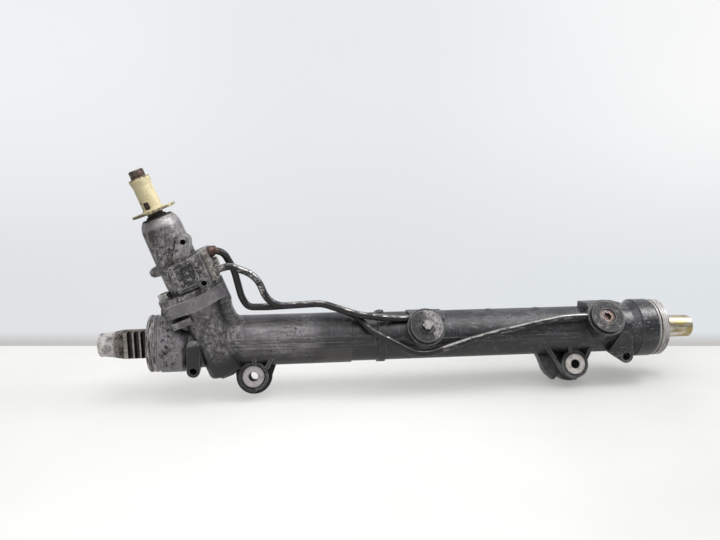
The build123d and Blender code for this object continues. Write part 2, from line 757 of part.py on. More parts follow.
with BuildPart() as sleeve_seal_rings:
    for height in groove_heights:
        ring_up_tower(height - SEAL_GROOVE_WIDTH / 2 + SEAT_GAP,
                      SEAL_GROOVE_WIDTH - 2 * SEAT_GAP, VALVE_BORE_R - SLIDE_GAP,
                      SLEEVE_OUTER_R - SEAL_GROOVE_DEPTH + SEAT_GAP)
save(sleeve_seal_rings, "sleeve_seal_rings")

with BuildPart() as spline_cap:
    cap_bore = INPUT_R + CAP_GAP
    turn_up_tower([
        (CAP_FLANGE_R - 0.8, CAP_FOOT),
        (CAP_FLANGE_R, CAP_FOOT + 0.8),
        (CAP_FLANGE_R, CAP_FOOT + CAP_FLANGE),
        (CAP_R + 1.5, CAP_FOOT + CAP_FLANGE + 0.4),
        (CAP_R, CAP_FOOT + CAP_FLANGE + 3),
        (CAP_R, CAP_TOP - 9),
        (CAP_R + CAP_FLARE, CAP_TOP - 3),
        (CAP_R + CAP_FLARE, CAP_TOP - 0.6),
        (CAP_R + CAP_FLARE - 0.6, CAP_TOP),
    ])
    disc(TOWER.offset(CAP_FOOT), cap_bore, CAP_TOP - CAP_FOOT, mode=Mode.SUBTRACT)
    # moulded window low in the wall
    with BuildSketch(TOWER_SECTION.offset(cap_bore - 3)) as window:
        with Locations((-2.5, CAP_FOOT + CAP_FLANGE + 2 + SLOT_HEIGHT / 2)):
            RectangleRounded(SLOT_LENGTH / 2, SLOT_HEIGHT, 1.5)
    extrude(window.sketch, amount=CAP_R, mode=Mode.SUBTRACT)
save(spline_cap, "spline_cap")


# ---- rack housing: one casting --------------------------------------------------------------

right_seat = HOUSING_RIGHT - RIGHT_SEAT_WIDTH
right_bead = HOUSING_RIGHT - RIGHT_BEAD_DOWN
YOKE = Plane(origin=(PINION_X, 0, 0), x_dir=(1, 0, 0), z_dir=(0, 1, 0))


def flange_outline(height, amount):
    """Two-bolt flange of the tower joint."""
    with BuildSketch(TOWER.offset(height)) as outline:
        Circle(FLANGE_R)
        with Locations(*FLANGE_LUGS):
            Circle(FLANGE_LUG_R)
        make_hull()
    extrude(outline.sketch, amount=amount)


def strut(plane, start, end, depth):
    """Rib of constant thickness between two points of a plane."""
    with BuildSketch(plane) as rib:
        with BuildLine() as middle:
            Line(start, end)
        trace(middle.line, STRUT)
    extrude(rib.sketch, amount=-depth)


def mount_bracket(x, web, struts):
    """Cast boss for a mounting bush, with its web and ribs up to the tube."""
    front = mount_plane(x)
    disc(front, BOSS_R, -BOSS_LENGTH)
    disc(front.offset(MOUNT_WEB_FRONT), BOSS_WEB_R, -MOUNT_WEB)
    plate(front.offset(MOUNT_WEB_FRONT), web, -MOUNT_WEB)
    for start, end in struts:
        strut(Plane.XZ.offset(MOUNT_STRUT_FRONT), start, end, MOUNT_STRUT)
    disc(front.offset(-2), 2.5, -8, centre=(0, -BOSS_R))


def ledge(left, right, out, top):
    """One step of the parting ledge, this far out of the tube."""
    plate(across(left), [(-TUBE_R - out, LEDGE_LOW_Z), (-TUBE_R - out, top),
                         (-CORED_BORE_R - 1, top), (-CORED_BORE_R - 1, LEDGE_LOW_Z)], right - left)


def port_boss(index):
    """Block and round boss of a cylinder port."""
    left, right = BLOCK_X[index]
    top = BLOCK_TOP[index]
    plate(across(left), [(2, 0), (-22, 2), (-27, 19), (-25.5, top - 5), (-17, top), (8, top - 3),
                         (8, 0)], right - left, rounding=CAST_ROUNDING)
    disc(port_plane(index).offset(CYLINDER_R + 2), PORT_BOSS_R,
         PORT_BOSS_TOP[index] - CYLINDER_R - 2)


with BuildPart() as rack_housing:
    turn_along_x([
        (HOUSING_LEFT, BOOT_SEAT_R - EDGE),
        (HOUSING_LEFT + EDGE, BOOT_SEAT_R),
        (-BEAD_HALF, BOOT_SEAT_R),
        (-BEAD_HALF, BOOT_SEAT_R - BEAD_DEPTH),
        (BEAD_HALF, BOOT_SEAT_R - BEAD_DEPTH),
        (BEAD_HALF, BOOT_SEAT_R),
        (SEAT_HALF, BOOT_SEAT_R),
        (SEAT_HALF + EDGE, BOOT_SEAT_R - EDGE),
        (SEAT_HALF + 3, BOOT_SEAT_R - EDGE),
        (SEAT_HALF + 4, LEFT_DRUM_R),
        (LEFT_DRUM_END, LEFT_DRUM_R),
        (LEFT_DRUM_END + 8, THICK_TUBE_R),
        (THICK_TUBE_END, THICK_TUBE_R),
        (THICK_TUBE_END + EDGE, TUBE_R),
        (RIB_X, TUBE_R),
        (RIB_X + EDGE, TUBE_R + 2),
        (RIB_X + RIB_WIDTH - EDGE, TUBE_R + 2),
        (RIB_X + RIB_WIDTH, TUBE_R),
        (PORT_X[1] + PORT_BOSS_R - 4, TUBE_R),
        (PORT_X[1] + PORT_BOSS_R, NECK_R),
        (RIGHT_DRUM_X - 7, NECK_R),
        (RIGHT_DRUM_X, RIGHT_DRUM_R - RIGHT_DRUM_STEP),
        (RIGHT_DRUM_X + 2, RIGHT_DRUM_R),
        (right_seat - 2, RIGHT_DRUM_R),
        (right_seat, RIGHT_SEAT_R),
        (right_bead - BEAD_HALF, RIGHT_SEAT_R),
        (right_bead - BEAD_HALF, RIGHT_SEAT_R - RIGHT_BEAD_DEPTH),
        (right_bead, RIGHT_SEAT_R - RIGHT_BEAD_DEPTH),
        (right_bead, RIGHT_SEAT_R),
        (HOUSING_RIGHT - EDGE, RIGHT_SEAT_R),
        (HOUSING_RIGHT, RIGHT_SEAT_R - EDGE),
    ])
    # stepped parting ledge along the toothed side
    ledge(LEDGE_LEFT, LEDGE_MIDDLE, LEDGE_OUT, LEDGE_STEP_Z)
    ledge(LEDGE_LEFT, LEDGE_MIDDLE, LEDGE_OUT - LEDGE_STEP, LEDGE_TOP_Z)
    ledge(LEDGE_MIDDLE, LEDGE_RIGHT, LEDGE_LOW_OUT, LEDGE_STEP_Z)
    # tower barrel, its neck and the joint flange
    turn_up_tower([
        (BARREL_R - 4, BARREL_FOOT),
        (BARREL_R - 1, BARREL_FOOT + 1.2),
        (BARREL_R, BARREL_FOOT + 4),
        (BARREL_R, FLANGE_FOOT - 13),
        (FLANGE_R - 1.5, FLANGE_FOOT),
        (FLANGE_R - 1.5, FLANGE_FOOT + 2),
    ])
    flange_outline(FLANGE_FOOT, JOINT_FACE - FLANGE_FOOT)
    plate(TOWER.offset(FLANGE_FOOT - 11), [(-30, -27), (-30, -10), (-7, -10), (-7, -27)], 7,
          rounding=CAST_ROUNDING)
    # webs that carry the flange lugs down to the tube
    plate(Plane.XZ.offset(-PINION_Y - FLANGE_WEB / 2 + 3),
          [(12, 26), (13, 46), (30, 54), (50, 45), (50, 20)], FLANGE_WEB)
    plate(Plane.XZ.offset(-PINION_Y - FLANGE_WEB / 2 - 6),
          [(78, 62), (88, 58), (90, 44), (94, 35), (104, 27), (96, 10), (70, 20)], FLANGE_WEB)
    disc(TOWER.offset(JOINT_FACE), FLANGE_LUG_R, -DEEP_LUG, FLANGE_LUGS[1])
    # yoke boss
    disc(YOKE, YOKE_BOSS_R, YOKE_BOSS_Y)
    # bracket arms with accessory holes
    with BuildSketch(Plane.XZ.offset(ARM_FRONT - LEFT_ARM)) as arm:
        with BuildLine() as middle:
            Line(LEFT_ARM_HOLE, (47.4, 4.5))
        offset(middle.line, LEFT_ARM_R, side=Side.BOTH)
        make_hull()
    extrude(arm.sketch, amount=LEFT_ARM)
    with BuildSketch(Plane.XZ.offset(ARM_FRONT - RIGHT_ARM)) as arm:
        with Locations(RIGHT_BOSS_HOLE):
            Circle(RIGHT_ARM_R)
        with Locations((543, -19)):
            Circle(5.5)
        with Locations((556, -5)):
            Circle(9)
        make_hull()
    extrude(arm.sketch, amount=RIGHT_ARM)
    mount_bracket(
        MOUNT_X[0],
        [(-21, 0), (-23, 24), (30, 24), (24, 8), (21, 0)],
        [((95.6, -26), (93, -5)), ((113.5, -22), (114, -5)), ((127, -27), (137.5, -6))],
    )
    mount_bracket(
        MOUNT_X[1],
        [(-44, 22), (-37, 6), (-33, -6), (-29, -12), (-21, -19), (0, 0), (20, 0), (24, 10),
         (30, 24)],
        [((483.5, -46), (460, -10)), ((491, -22), (490.3, -9)), ((511, -31), (519, -10))],
    )
    for index in (0, 1):
        port_boss(index)
    disc(Plane.XY.offset(TUBE_R - 4), 4.5, 7, centre=(RIB_X + RIB_WIDTH / 2, 0))

    # rack bore, cylinder and the wide end bores
    turn_along_x([
        (HOUSING_LEFT, BALL_BORE_R),
        (HOUSING_LEFT + BALL_BORE_DEPTH, BALL_BORE_R),
        (HOUSING_LEFT + BALL_BORE_DEPTH, RACK_BORE_R),
        (PINION_X + BARREL_R + 14, RACK_BORE_R),
        (PINION_X + BARREL_R + 20, CORED_BORE_R),
        (SEAL_STEP_X - 16, CORED_BORE_R),
        (SEAL_STEP_X - 10, RACK_BORE_R),
        (SEAL_STEP_X, RACK_BORE_R),
        (SEAL_STEP_X, CYLINDER_R),
        (HOUSING_RIGHT - RIGHT_BORE_DEPTH, CYLINDER_R),
        (HOUSING_RIGHT - RIGHT_BORE_DEPTH, BALL_BORE_R),
        (HOUSING_RIGHT, BALL_BORE_R),
    ], Mode.SUBTRACT)
    ring_along_x(RETAINER_X, RETAINER + 2 * SLIDE_GAP, CYLINDER_R + RETAINER_RISE, CYLINDER_R - 1,
                 Mode.SUBTRACT)
    # stepped bore up the tower
    turn_up_tower([
        (PLUG_R, BARREL_FOOT),
        (PLUG_R, BEARING_FOOT),
        (BEARING_R, BEARING_FOOT),
        (BEARING_R, BEARING_FOOT + BEARING_WIDTH),
        (CAVITY_R, BEARING_FOOT + BEARING_WIDTH),
        (CAVITY_R, UPPER_BEARING),
        (UPPER_BEARING_R, UPPER_BEARING),
        (UPPER_BEARING_R, PINION_SEAL),
        (PINION_SEAL_R, PINION_SEAL),
        (PINION_SEAL_R, SPIGOT_FOOT),
        (SPIGOT_R + SEAT_GAP, SPIGOT_FOOT),
        (SPIGOT_R + SEAT_GAP, JOINT_FACE),
    ], Mode.SUBTRACT)
    disc(TOWER.offset(BARREL_FOOT), PLUG_R, -SPOT_FACE, mode=Mode.SUBTRACT)
    for lug in FLANGE_LUGS:
        disc(TOWER.offset(JOINT_FACE), FLANGE_BOLT_R, -BOLT_THREAD, lug, Mode.SUBTRACT)
    disc(YOKE, YOKE_R + SLIDE_GAP, YOKE_BOSS_Y, mode=Mode.SUBTRACT)
    # mounting bores and accessory holes
    for x in MOUNT_X:
        disc(mount_plane(x), BUSH_R + SEAT_GAP, -BOSS_LENGTH, mode=Mode.SUBTRACT)
    disc(Plane.XZ.offset(ARM_FRONT), LEFT_ARM_HOLE_R, -LEFT_ARM_HOLE_DEPTH, LEFT_ARM_HOLE,
         Mode.SUBTRACT)
    disc(Plane.XZ.offset(ARM_FRONT), RIGHT_BOSS_HOLE_R, -RIGHT_ARM, RIGHT_BOSS_HOLE,
         Mode.SUBTRACT)
    # cap recesses, passages and line bores of the ports
    for index, top in enumerate(PORT_BOSS_TOP):
        disc(port_plane(index).offset(top), PORT_SPIGOT_R + SEAT_GAP, -PORT_SPIGOT,
             mode=Mode.SUBTRACT)
        disc(port_plane(index).offset(CYLINDER_R - 3), PORT_PASSAGE_R, top - CYLINDER_R,
             mode=Mode.SUBTRACT)
        disc(port_plane(index).offset(top), PORT_CAP_R + PORT_CAP_GAP, CAP_SCREW_DEPTH,
             mode=Mode.SUBTRACT)
        disc(across(LINE_MOUTH_X[index] - 4), LINE_R + SEAT_GAP, LINE_BORE_DEPTH + 4,
             (LINE_PORT_Y[index], LINE_PORT_Z[index]), Mode.SUBTRACT)
save(rack_housing, "rack_housing")


# ---- valve housing -------------------------------------------------------------------------

side_face = Plane(origin=TOWER_ORIGIN, x_dir=(0, 1, 0), z_dir=TOWER_SIDE)
rear_face = Plane(origin=TOWER_ORIGIN, x_dir=TOWER_UP, z_dir=(0, 1, 0))

with BuildPart() as valve_housing:
    turn_up_tower([
        (SPIGOT_R - 0.6, SPIGOT_FOOT + 0.2),
        (SPIGOT_R, SPIGOT_FOOT + 0.8),
        (SPIGOT_R, JOINT_RING),
        (SPIGOT_R - JOINT_RING_DEPTH, JOINT_RING),
        (SPIGOT_R - JOINT_RING_DEPTH, JOINT_RING + JOINT_RING_WIDTH),
        (SPIGOT_R, JOINT_RING + JOINT_RING_WIDTH),
        (SPIGOT_R, JOINT_FACE),
        (VALVE_BODY_R, JOINT_FACE),
        (VALVE_BODY_R, VALVE_WAIST),
        (VALVE_HEAD_R, VALVE_TOP - HEAD_CROWN),
        (VALVE_HEAD_R - 0.6, VALVE_TOP - 0.7 * HEAD_CROWN),
        (VALVE_HEAD_R - 2.0, VALVE_TOP - 0.35 * HEAD_CROWN),
        (VALVE_TOP_R + 0.6, VALVE_TOP - 0.6),
        (VALVE_TOP_R, VALVE_TOP),
    ])
    flange_outline(JOINT_FACE, VALVE_FLANGE)
    # port block on the front, with a shallow cast pocket
    plate(TOWER_SECTION, [(-6, 76), (-6, 105.8), (BLOCK_RIGHT, 110), (BLOCK_RIGHT, 84),
                          (18, 84), (18, 76)], BLOCK_FRONT, rounding=CAST_ROUNDING)
    plate(TOWER_SECTION.offset(6), [(0, 76), (0, 84), (BLOCK_RIGHT, 84), (BLOCK_RIGHT, 76)],
          BLOCK_FRONT - 6)
    plate(TOWER_SECTION.offset(-BLOCK_BACK), [(0, 83), (0, 106.5), (BLOCK_RIGHT, 110),
                                              (BLOCK_RIGHT, 83)], BLOCK_BACK)
    plate(TOWER_SECTION.offset(BLOCK_FRONT), [(-1, 80), (-1, 101), (20, 103.5), (20, 80)],
          -POCKET_DEPTH, rounding=CAST_ROUNDING, mode=Mode.SUBTRACT)
    # cast lugs and the boss of the small screw
    with BuildSketch(TOWER_SECTION.offset(EAR_FRONT - EAR_THICK)) as ear:
        with Locations(EAR_HOLE):
            Circle(EAR_R)
        with Locations((17.5, 115)):
            Circle(5)
        with Locations((8, 111)):
            Circle(6)
        make_hull()
    extrude(ear.sketch, amount=EAR_THICK)
    plate(TOWER_SECTION.offset(-5), [(-15, 97), (-29, 99), (-32, 102), (-32, 107), (-29, 109),
                                     (-15, 111)], 10, rounding=1)
    disc(TOWER_SECTION.offset(15), SCREW_BOSS_R, SCREW_BOSS_FRONT - 15, SCREW_HOLE)
    for height in REAR_PORT_W:
        disc(rear_face, REAR_BOSS_R, REAR_BOSS, (height, 0))

    turn_up_tower([
        (VALVE_BORE_R, SPIGOT_FOOT),
        (VALVE_BORE_R, VALVE_BORE_TOP),
        (VALVE_BEARING_R, VALVE_BORE_TOP),
        (VALVE_BEARING_R, VALVE_BORE_TOP + VALVE_BEARING_LENGTH),
        (VALVE_BEARING_R - VALVE_BEARING_LIP, VALVE_BORE_TOP + VALVE_BEARING_LENGTH),
        (VALVE_BEARING_R - VALVE_BEARING_LIP, SHAFT_SEAL),
        (SHAFT_SEAL_R, SHAFT_SEAL),
        (SHAFT_SEAL_R, SEAL_RETAINER),
        (SHAFT_SEAL_R + 0.8, SEAL_RETAINER),
        (SHAFT_SEAL_R + 0.8, SEAL_RETAINER + SEAL_RETAINER_THICK + 2 * SLIDE_GAP),
        (SHAFT_SEAL_R, SEAL_RETAINER + SEAL_RETAINER_THICK + 2 * SLIDE_GAP),
        (SHAFT_SEAL_R, VALVE_TOP),
    ], Mode.SUBTRACT)
    disc(TOWER_SECTION.offset(EAR_FRONT), EAR_HOLE_R, -SCREW_DEPTH, EAR_HOLE, Mode.SUBTRACT)
    disc(TOWER_SECTION.offset(SCREW_BOSS_FRONT), EAR_HOLE_R, -SCREW_DEPTH, SCREW_HOLE,
         Mode.SUBTRACT)
    for lug in FLANGE_LUGS:
        disc(TOWER.offset(JOINT_FACE), FLANGE_BOLT_R + BOLT_GAP, VALVE_FLANGE, lug,
             Mode.SUBTRACT)
        disc(TOWER.offset(JOINT_FACE + VALVE_FLANGE), BOLT_FLANGE_R + BOLT_GAP, BOLT_ROOM, lug,
             Mode.SUBTRACT)
    # line bores with their passages, and the clamp bolt's thread
    for place in VALVE_LINES:
        disc(side_face.offset(BLOCK_RIGHT), LINE_R + SEAT_GAP, -LINE_BORE_DEPTH, place,
             Mode.SUBTRACT)
        disc(side_face.offset(BLOCK_RIGHT), PASSAGE_R, -22, place, Mode.SUBTRACT)
    disc(side_face.offset(BLOCK_RIGHT), CLAMP_BOLT_R, -CLAMP_DEPTH, CLAMP_BOLT, Mode.SUBTRACT)
    for height, thread in zip(REAR_PORT_W, REAR_PORT_R):
        disc(rear_face.offset(REAR_BOSS), thread, -REAR_THREAD, (height, 0), Mode.SUBTRACT)
        disc(rear_face.offset(REAR_BOSS), LINE_R, VALVE_BORE_R - 3 - REAR_BOSS, (height, 0),
             Mode.SUBTRACT)
save(valve_housing, "valve_housing")

with BuildPart() as housing_seal_ring:
    ring_up_tower(JOINT_RING + 0.1, JOINT_RING_WIDTH - 0.2, SPIGOT_R,
                  SPIGOT_R - JOINT_RING_DEPTH + SEAT_GAP)
save(housing_seal_ring, "housing_seal_ring")

with BuildPart() as flange_bolts:
    for lug in FLANGE_LUGS:
        seat = JOINT_FACE + VALVE_FLANGE
        disc(TOWER.offset(seat), FLANGE_BOLT_R - SEAT_GAP, 0.5 - VALVE_FLANGE - BOLT_THREAD, lug)
        disc(TOWER.offset(seat), BOLT_FLANGE_R, BOLT_FLANGE, lug)
        with BuildSketch(TOWER.offset(seat + BOLT_FLANGE)) as head:
            with Locations(lug):
                RegularPolygon(BOLT_HEAD_R, 6)
        extrude(head.sketch, amount=BOLT_HEAD)
        disc(TOWER.offset(seat + BOLT_FLANGE + BOLT_HEAD), BOLT_HEAD_R - 3, -1.2, lug,
             Mode.SUBTRACT)
save(flange_bolts, "flange_bolts")

with BuildPart() as pinion_plug:
    disc(TOWER.offset(BEARING_FOOT - 0.1), PLUG_R - SEAT_GAP, BARREL_FOOT - BEARING_FOOT + 0.1)
    with BuildSketch(TOWER.offset(BARREL_FOOT + 0.5)) as hexagon:
        RegularPolygon(PLUG_HEX_R, 6)
    extrude(hexagon.sketch, amount=PLUG_FOOT - BARREL_FOOT - 0.5)
    disc(TOWER.offset(STUB_FOOT - 0.8), PLUG_CAVITY_R, BEARING_FOOT - STUB_FOOT + 1,
         mode=Mode.SUBTRACT)
save(pinion_plug, "pinion_plug")


def lip_seal(length, outer, inner):
    """Half section of a lip seal as (radius, length) points."""
    return [
        (inner + LIP, 0),
        (outer, 0),
        (outer, length),
        (outer - SHELL, length),
        (outer - SHELL, SHELL),
        (inner + LIP, SHELL),
        (inner + LIP - 0.6, length - 1),
        (inner, length - 1),
        (inner, 1),
    ]


def tower_seal(name, foot, length, outer, inner):
    """Lip seal on the tower axis."""
    with BuildPart() as seal:
        points = [(radius, foot + up) for radius, up in lip_seal(length, outer, inner)]
        turn_profile(points, TOWER_SECTION, TOWER_AXIS)
    save(seal, name)


def bar_seal(name, left, length):
    """Lip seal on the rack axis, open to the right."""
    outer = CYLINDER_R - SEAT_GAP
    with BuildPart() as seal:
        points = [(left + along, radius)
                  for radius, along in lip_seal(length, outer, BAR_R + SLIDE_GAP)]
        turn_profile(points)
    save(seal, name)


tower_seal("pinion_oil_seal", PINION_SEAL, PINION_SEAL_LENGTH, PINION_SEAL_R - SEAT_GAP,
           JOURNAL_R + SLIDE_GAP)
tower_seal("shaft_seal", SHAFT_SEAL, SHAFT_SEAL_LENGTH, SHAFT_SEAL_R - SEAT_GAP,
           INPUT_JOURNAL_R + SLIDE_GAP)

with BuildPart() as seal_retaining_ring:
    ring_up_tower(SEAL_RETAINER + SLIDE_GAP, SEAL_RETAINER_THICK, SHAFT_SEAL_R + 0.7,
                  SHAFT_SEAL_R - 1.8)
    with BuildSketch(TOWER.offset(SEAL_RETAINER)) as gap:
        with Locations((0, SHAFT_SEAL_R)):
            Rectangle(7, 6)
    extrude(gap.sketch, amount=3, mode=Mode.SUBTRACT)
save(seal_retaining_ring, "seal_retaining_ring")

with BuildPart() as dust_seal:
    turn_profile([
        (INPUT_R + 2, DUST_SEAL),
        (SHAFT_SEAL_R - SEAT_GAP, DUST_SEAL),
        (SHAFT_SEAL_R - SEAT_GAP, VALVE_TOP),
        (VALVE_TOP_R - 1, VALVE_TOP),
        (VALVE_TOP_R - 1, VALVE_TOP + DUST_SEAL_RIM),
        (INPUT_R + 3, VALVE_TOP + DUST_SEAL_RIM),
        (INPUT_R + 1.4, VALVE_TOP + DUST_SEAL_LIP),
        (INPUT_R + SLIDE_GAP, VALVE_TOP + DUST_SEAL_LIP),
        (INPUT_R + SLIDE_GAP, VALVE_TOP + 0.5),
        (INPUT_R + 2, VALVE_TOP - 2),
    ], TOWER_SECTION, TOWER_AXIS)
save(dust_seal, "dust_seal")


# ---- rack yoke -----------------------------------------------------------------------------

pad_inner = TOOTHED_R + SLIDE_GAP
saddle_r = pad_inner + PAD_THICK + SEAT_GAP

with BuildPart() as rack_yoke:
    disc(YOKE.offset(YOKE_FRONT), YOKE_R, YOKE_BACK - YOKE_FRONT)
    disc(across(PINION_X - YOKE_R - 1), saddle_r, 2 * YOKE_R + 2, mode=Mode.SUBTRACT)
    disc(YOKE.offset(YOKE_BACK), YOKE_POCKET_R, -YOKE_POCKET, mode=Mode.SUBTRACT)
    with BuildSketch(YOKE.offset(RING_Y)) as ring_groove:
        Circle(YOKE_R + 1)
        Circle(YOKE_R - RING_SECTION + 0.5, mode=Mode.SUBTRACT)
    extrude(ring_groove.sketch, amount=RING_SECTION, mode=Mode.SUBTRACT)
save(rack_yoke, "rack_yoke")

with BuildPart() as yoke_pad:
    ring_along_x(PINION_X - PAD_HALF, 2 * PAD_HALF, saddle_r - SEAT_GAP, pad_inner)
    with Locations((PINION_X, YOKE_FRONT + 1 - YOKE_R, 0)):
        Box(4 * PAD_HALF, 2 * YOKE_R, 4 * YOKE_R, mode=Mode.SUBTRACT)
save(yoke_pad, "yoke_pad")

with BuildPart() as yoke_o_ring:
    with BuildSketch(YOKE.offset(RING_Y + 0.1)):
        Circle(YOKE_R)
        Circle(YOKE_R - RING_SECTION + 0.5 + SEAT_GAP, mode=Mode.SUBTRACT)
    extrude(amount=RING_SECTION - 0.2)
save(yoke_o_ring, "yoke_o_ring")

with BuildPart() as yoke_plug:
    disc(YOKE.offset(PLUG_FACE), YOKE_R, YOKE_PLUG_END - PLUG_FACE)
    disc(YOKE.offset(PLUG_FACE), YOKE_POCKET_R, 3, mode=Mode.SUBTRACT)
    with BuildSketch(YOKE.offset(YOKE_PLUG_END)) as socket:
        RegularPolygon(YOKE_SOCKET_R, 6)
    extrude(socket.sketch, amount=-YOKE_SOCKET, mode=Mode.SUBTRACT)
save(yoke_plug, "yoke_plug")

with BuildPart() as yoke_lock_nut:
    with BuildSketch(YOKE.offset(YOKE_BOSS_Y)):
        RegularPolygon(LOCK_NUT_R, 6)
        Circle(YOKE_R + SEAT_GAP, mode=Mode.SUBTRACT)
    extrude(amount=LOCK_NUT)
save(yoke_lock_nut, "yoke_lock_nut")

spring_foot = YOKE_BACK - YOKE_POCKET + SPRING_WIRE_R + SLIDE_GAP
spring_length = PLUG_FACE + 3 - SPRING_WIRE_R - SLIDE_GAP - spring_foot
with BuildPart() as yoke_spring:
    with BuildLine() as coil:
        Helix(SPRING_PITCH, spring_length, SPRING_R, center=(PINION_X, spring_foot, 0),
              direction=(0, 1, 0))
    with BuildSketch(Plane(origin=coil.line @ 0, z_dir=coil.line % 0)):
        Circle(SPRING_WIRE_R)
    sweep(path=coil.line, is_frenet=True)
save(yoke_spring, "yoke_spring")


# ---- cylinder seals, bushing and their rings -----------------------------------------------


bar_seal("inner_rack_seal", SEAL_STEP_X + SLIDE_GAP, INNER_SEAL - 2 * SLIDE_GAP)
bar_seal("end_rack_seal", END_SEAL_X + SLIDE_GAP, INNER_SEAL - 2 * SLIDE_GAP)

with BuildPart() as seal_backing_ring:
    ring_along_x(SEAL_STEP_X + INNER_SEAL, BACKING_RING, CYLINDER_R - SEAT_GAP, BAR_R + SLIDE_GAP)
    chamfer(seal_backing_ring.edges().filter_by(GeomType.CIRCLE).sort_by(Axis.X)[-2:], 0.6)
save(seal_backing_ring, "seal_backing_ring")

with BuildPart() as rack_bushing:
    ring_along_x(BUSHING_X, RETAINER_X - BUSHING_X, CYLINDER_R - SEAT_GAP, BAR_R + SLIDE_GAP)
    ring_along_x(BUSHING_RING_X, RING_SECTION, CYLINDER_R + 1, CYLINDER_R - RING_SECTION + 0.5,
                 Mode.SUBTRACT)
save(rack_bushing, "rack_bushing")

with BuildPart() as bushing_o_ring:
    ring_along_x(BUSHING_RING_X + 0.1, RING_SECTION - 0.2, CYLINDER_R - SEAT_GAP,
                 CYLINDER_R - RING_SECTION + 0.5 + SEAT_GAP)
save(bushing_o_ring, "bushing_o_ring")

with BuildPart() as end_retaining_ring:
    ring_along_x(RETAINER_X + SLIDE_GAP, RETAINER, CYLINDER_R + RETAINER_RISE - 0.1,
                 CYLINDER_R - RETAINER_RISE)
    with Locations((RETAINER_X + RETAINER / 2, 0, -CYLINDER_R)):
        Box(2 * RETAINER, 8, 4 * RETAINER_RISE, mode=Mode.SUBTRACT)
save(end_retaining_ring, "end_retaining_ring")


# ---- mounting bushes -----------------------------------------------------------------------


for side, x in zip(("left", "right"), MOUNT_X):
    outer_face = mount_plane(x).offset(SLEEVE_PROUD)
    sleeve_length = BOSS_LENGTH + 2 * SLEEVE_PROUD
    with BuildPart() as mount_sleeve:
        disc(outer_face, SLEEVE_R, -sleeve_length)
        disc(outer_face, SLEEVE_FACE_R, -SLEEVE_FACE)
        disc(outer_face.offset(-sleeve_length), SLEEVE_FACE_R, SLEEVE_FACE)
        disc(outer_face, MOUNT_BOLT_R, -sleeve_length, mode=Mode.SUBTRACT)
    save(mount_sleeve, f"{side}_mount_sleeve")
    with BuildPart() as mount_rubber:
        with BuildSketch(mount_plane(x).offset(-RUBBER_INSET)):
            Circle(BUSH_R - SEAT_GAP)
            Circle(SLEEVE_R + SEAT_GAP, mode=Mode.SUBTRACT)
        extrude(amount=2 * RUBBER_INSET - BOSS_LENGTH)
    save(mount_rubber, f"{side}_mount_rubber")


# ---- port caps and steel lines -------------------------------------------------------------

for index, name in enumerate(("centre_port_cap", "right_port_cap")):
    face = port_plane(index).offset(PORT_BOSS_TOP[index])
    with BuildPart() as port_cap:
        disc(face, PORT_CAP_R, PORT_CAP_THICK)
        chamfer(port_cap.edges().filter_by(GeomType.CIRCLE), 0.6)
        disc(face.offset(1), PORT_SPIGOT_R, -PORT_SPIGOT - 0.8)
        with BuildSketch(face.offset(-CAP_SEAL_DOWN)) as groove:
            Circle(PORT_SPIGOT_R + 1)
            Circle(PORT_SPIGOT_R - CAP_SEAL_DEPTH, mode=Mode.SUBTRACT)
        extrude(groove.sketch, amount=CAP_SEAL_WIDTH, mode=Mode.SUBTRACT)
        if index == 0:
            disc(face.offset(PORT_CAP_THICK), CAP_KNOB_R, CAP_KNOB)
            disc(face.offset(PORT_CAP_THICK + CAP_KNOB), CAP_SCREW_R, -CAP_SCREW_DEPTH,
                 mode=Mode.SUBTRACT)
        else:
            disc(face.offset(PORT_CAP_THICK), CAP_DISH_R, -CAP_DISH, mode=Mode.SUBTRACT)
            with BuildSketch(face.offset(PORT_CAP_THICK - CAP_DISH)) as socket:
                RegularPolygon(CAP_SOCKET_R, 6)
            extrude(socket.sketch, amount=-CAP_SOCKET, mode=Mode.SUBTRACT)
    save(port_cap, name)

with BuildPart() as port_cap_seals:
    for index, top in enumerate(PORT_BOSS_TOP):
        face = port_plane(index).offset(top - CAP_SEAL_DOWN + 0.1)
        with BuildSketch(face) as seal_ring:
            Circle(PORT_SPIGOT_R)
            Circle(PORT_SPIGOT_R - CAP_SEAL_DEPTH + SEAT_GAP, mode=Mode.SUBTRACT)
        extrude(seal_ring.sketch, amount=CAP_SEAL_WIDTH - 0.2)
save(port_cap_seals, "port_cap_seals")

with BuildPart() as centre_cap_screw:
    face = port_plane(0).offset(PORT_BOSS_TOP[0] + PORT_CAP_THICK + CAP_KNOB)
    disc(face, CAP_SCREW_R - SEAT_GAP, 1 - CAP_SCREW_DEPTH)
    with BuildSketch(face):
        RegularPolygon(SCREW_HEAD_R, 6)
    extrude(amount=SCREW_HEAD)
    fillet(centre_cap_screw.faces().sort_by(Axis((0, 0, 0), face.z_dir))[-1].edges(), 0.8)
save(centre_cap_screw, "centre_cap_screw")

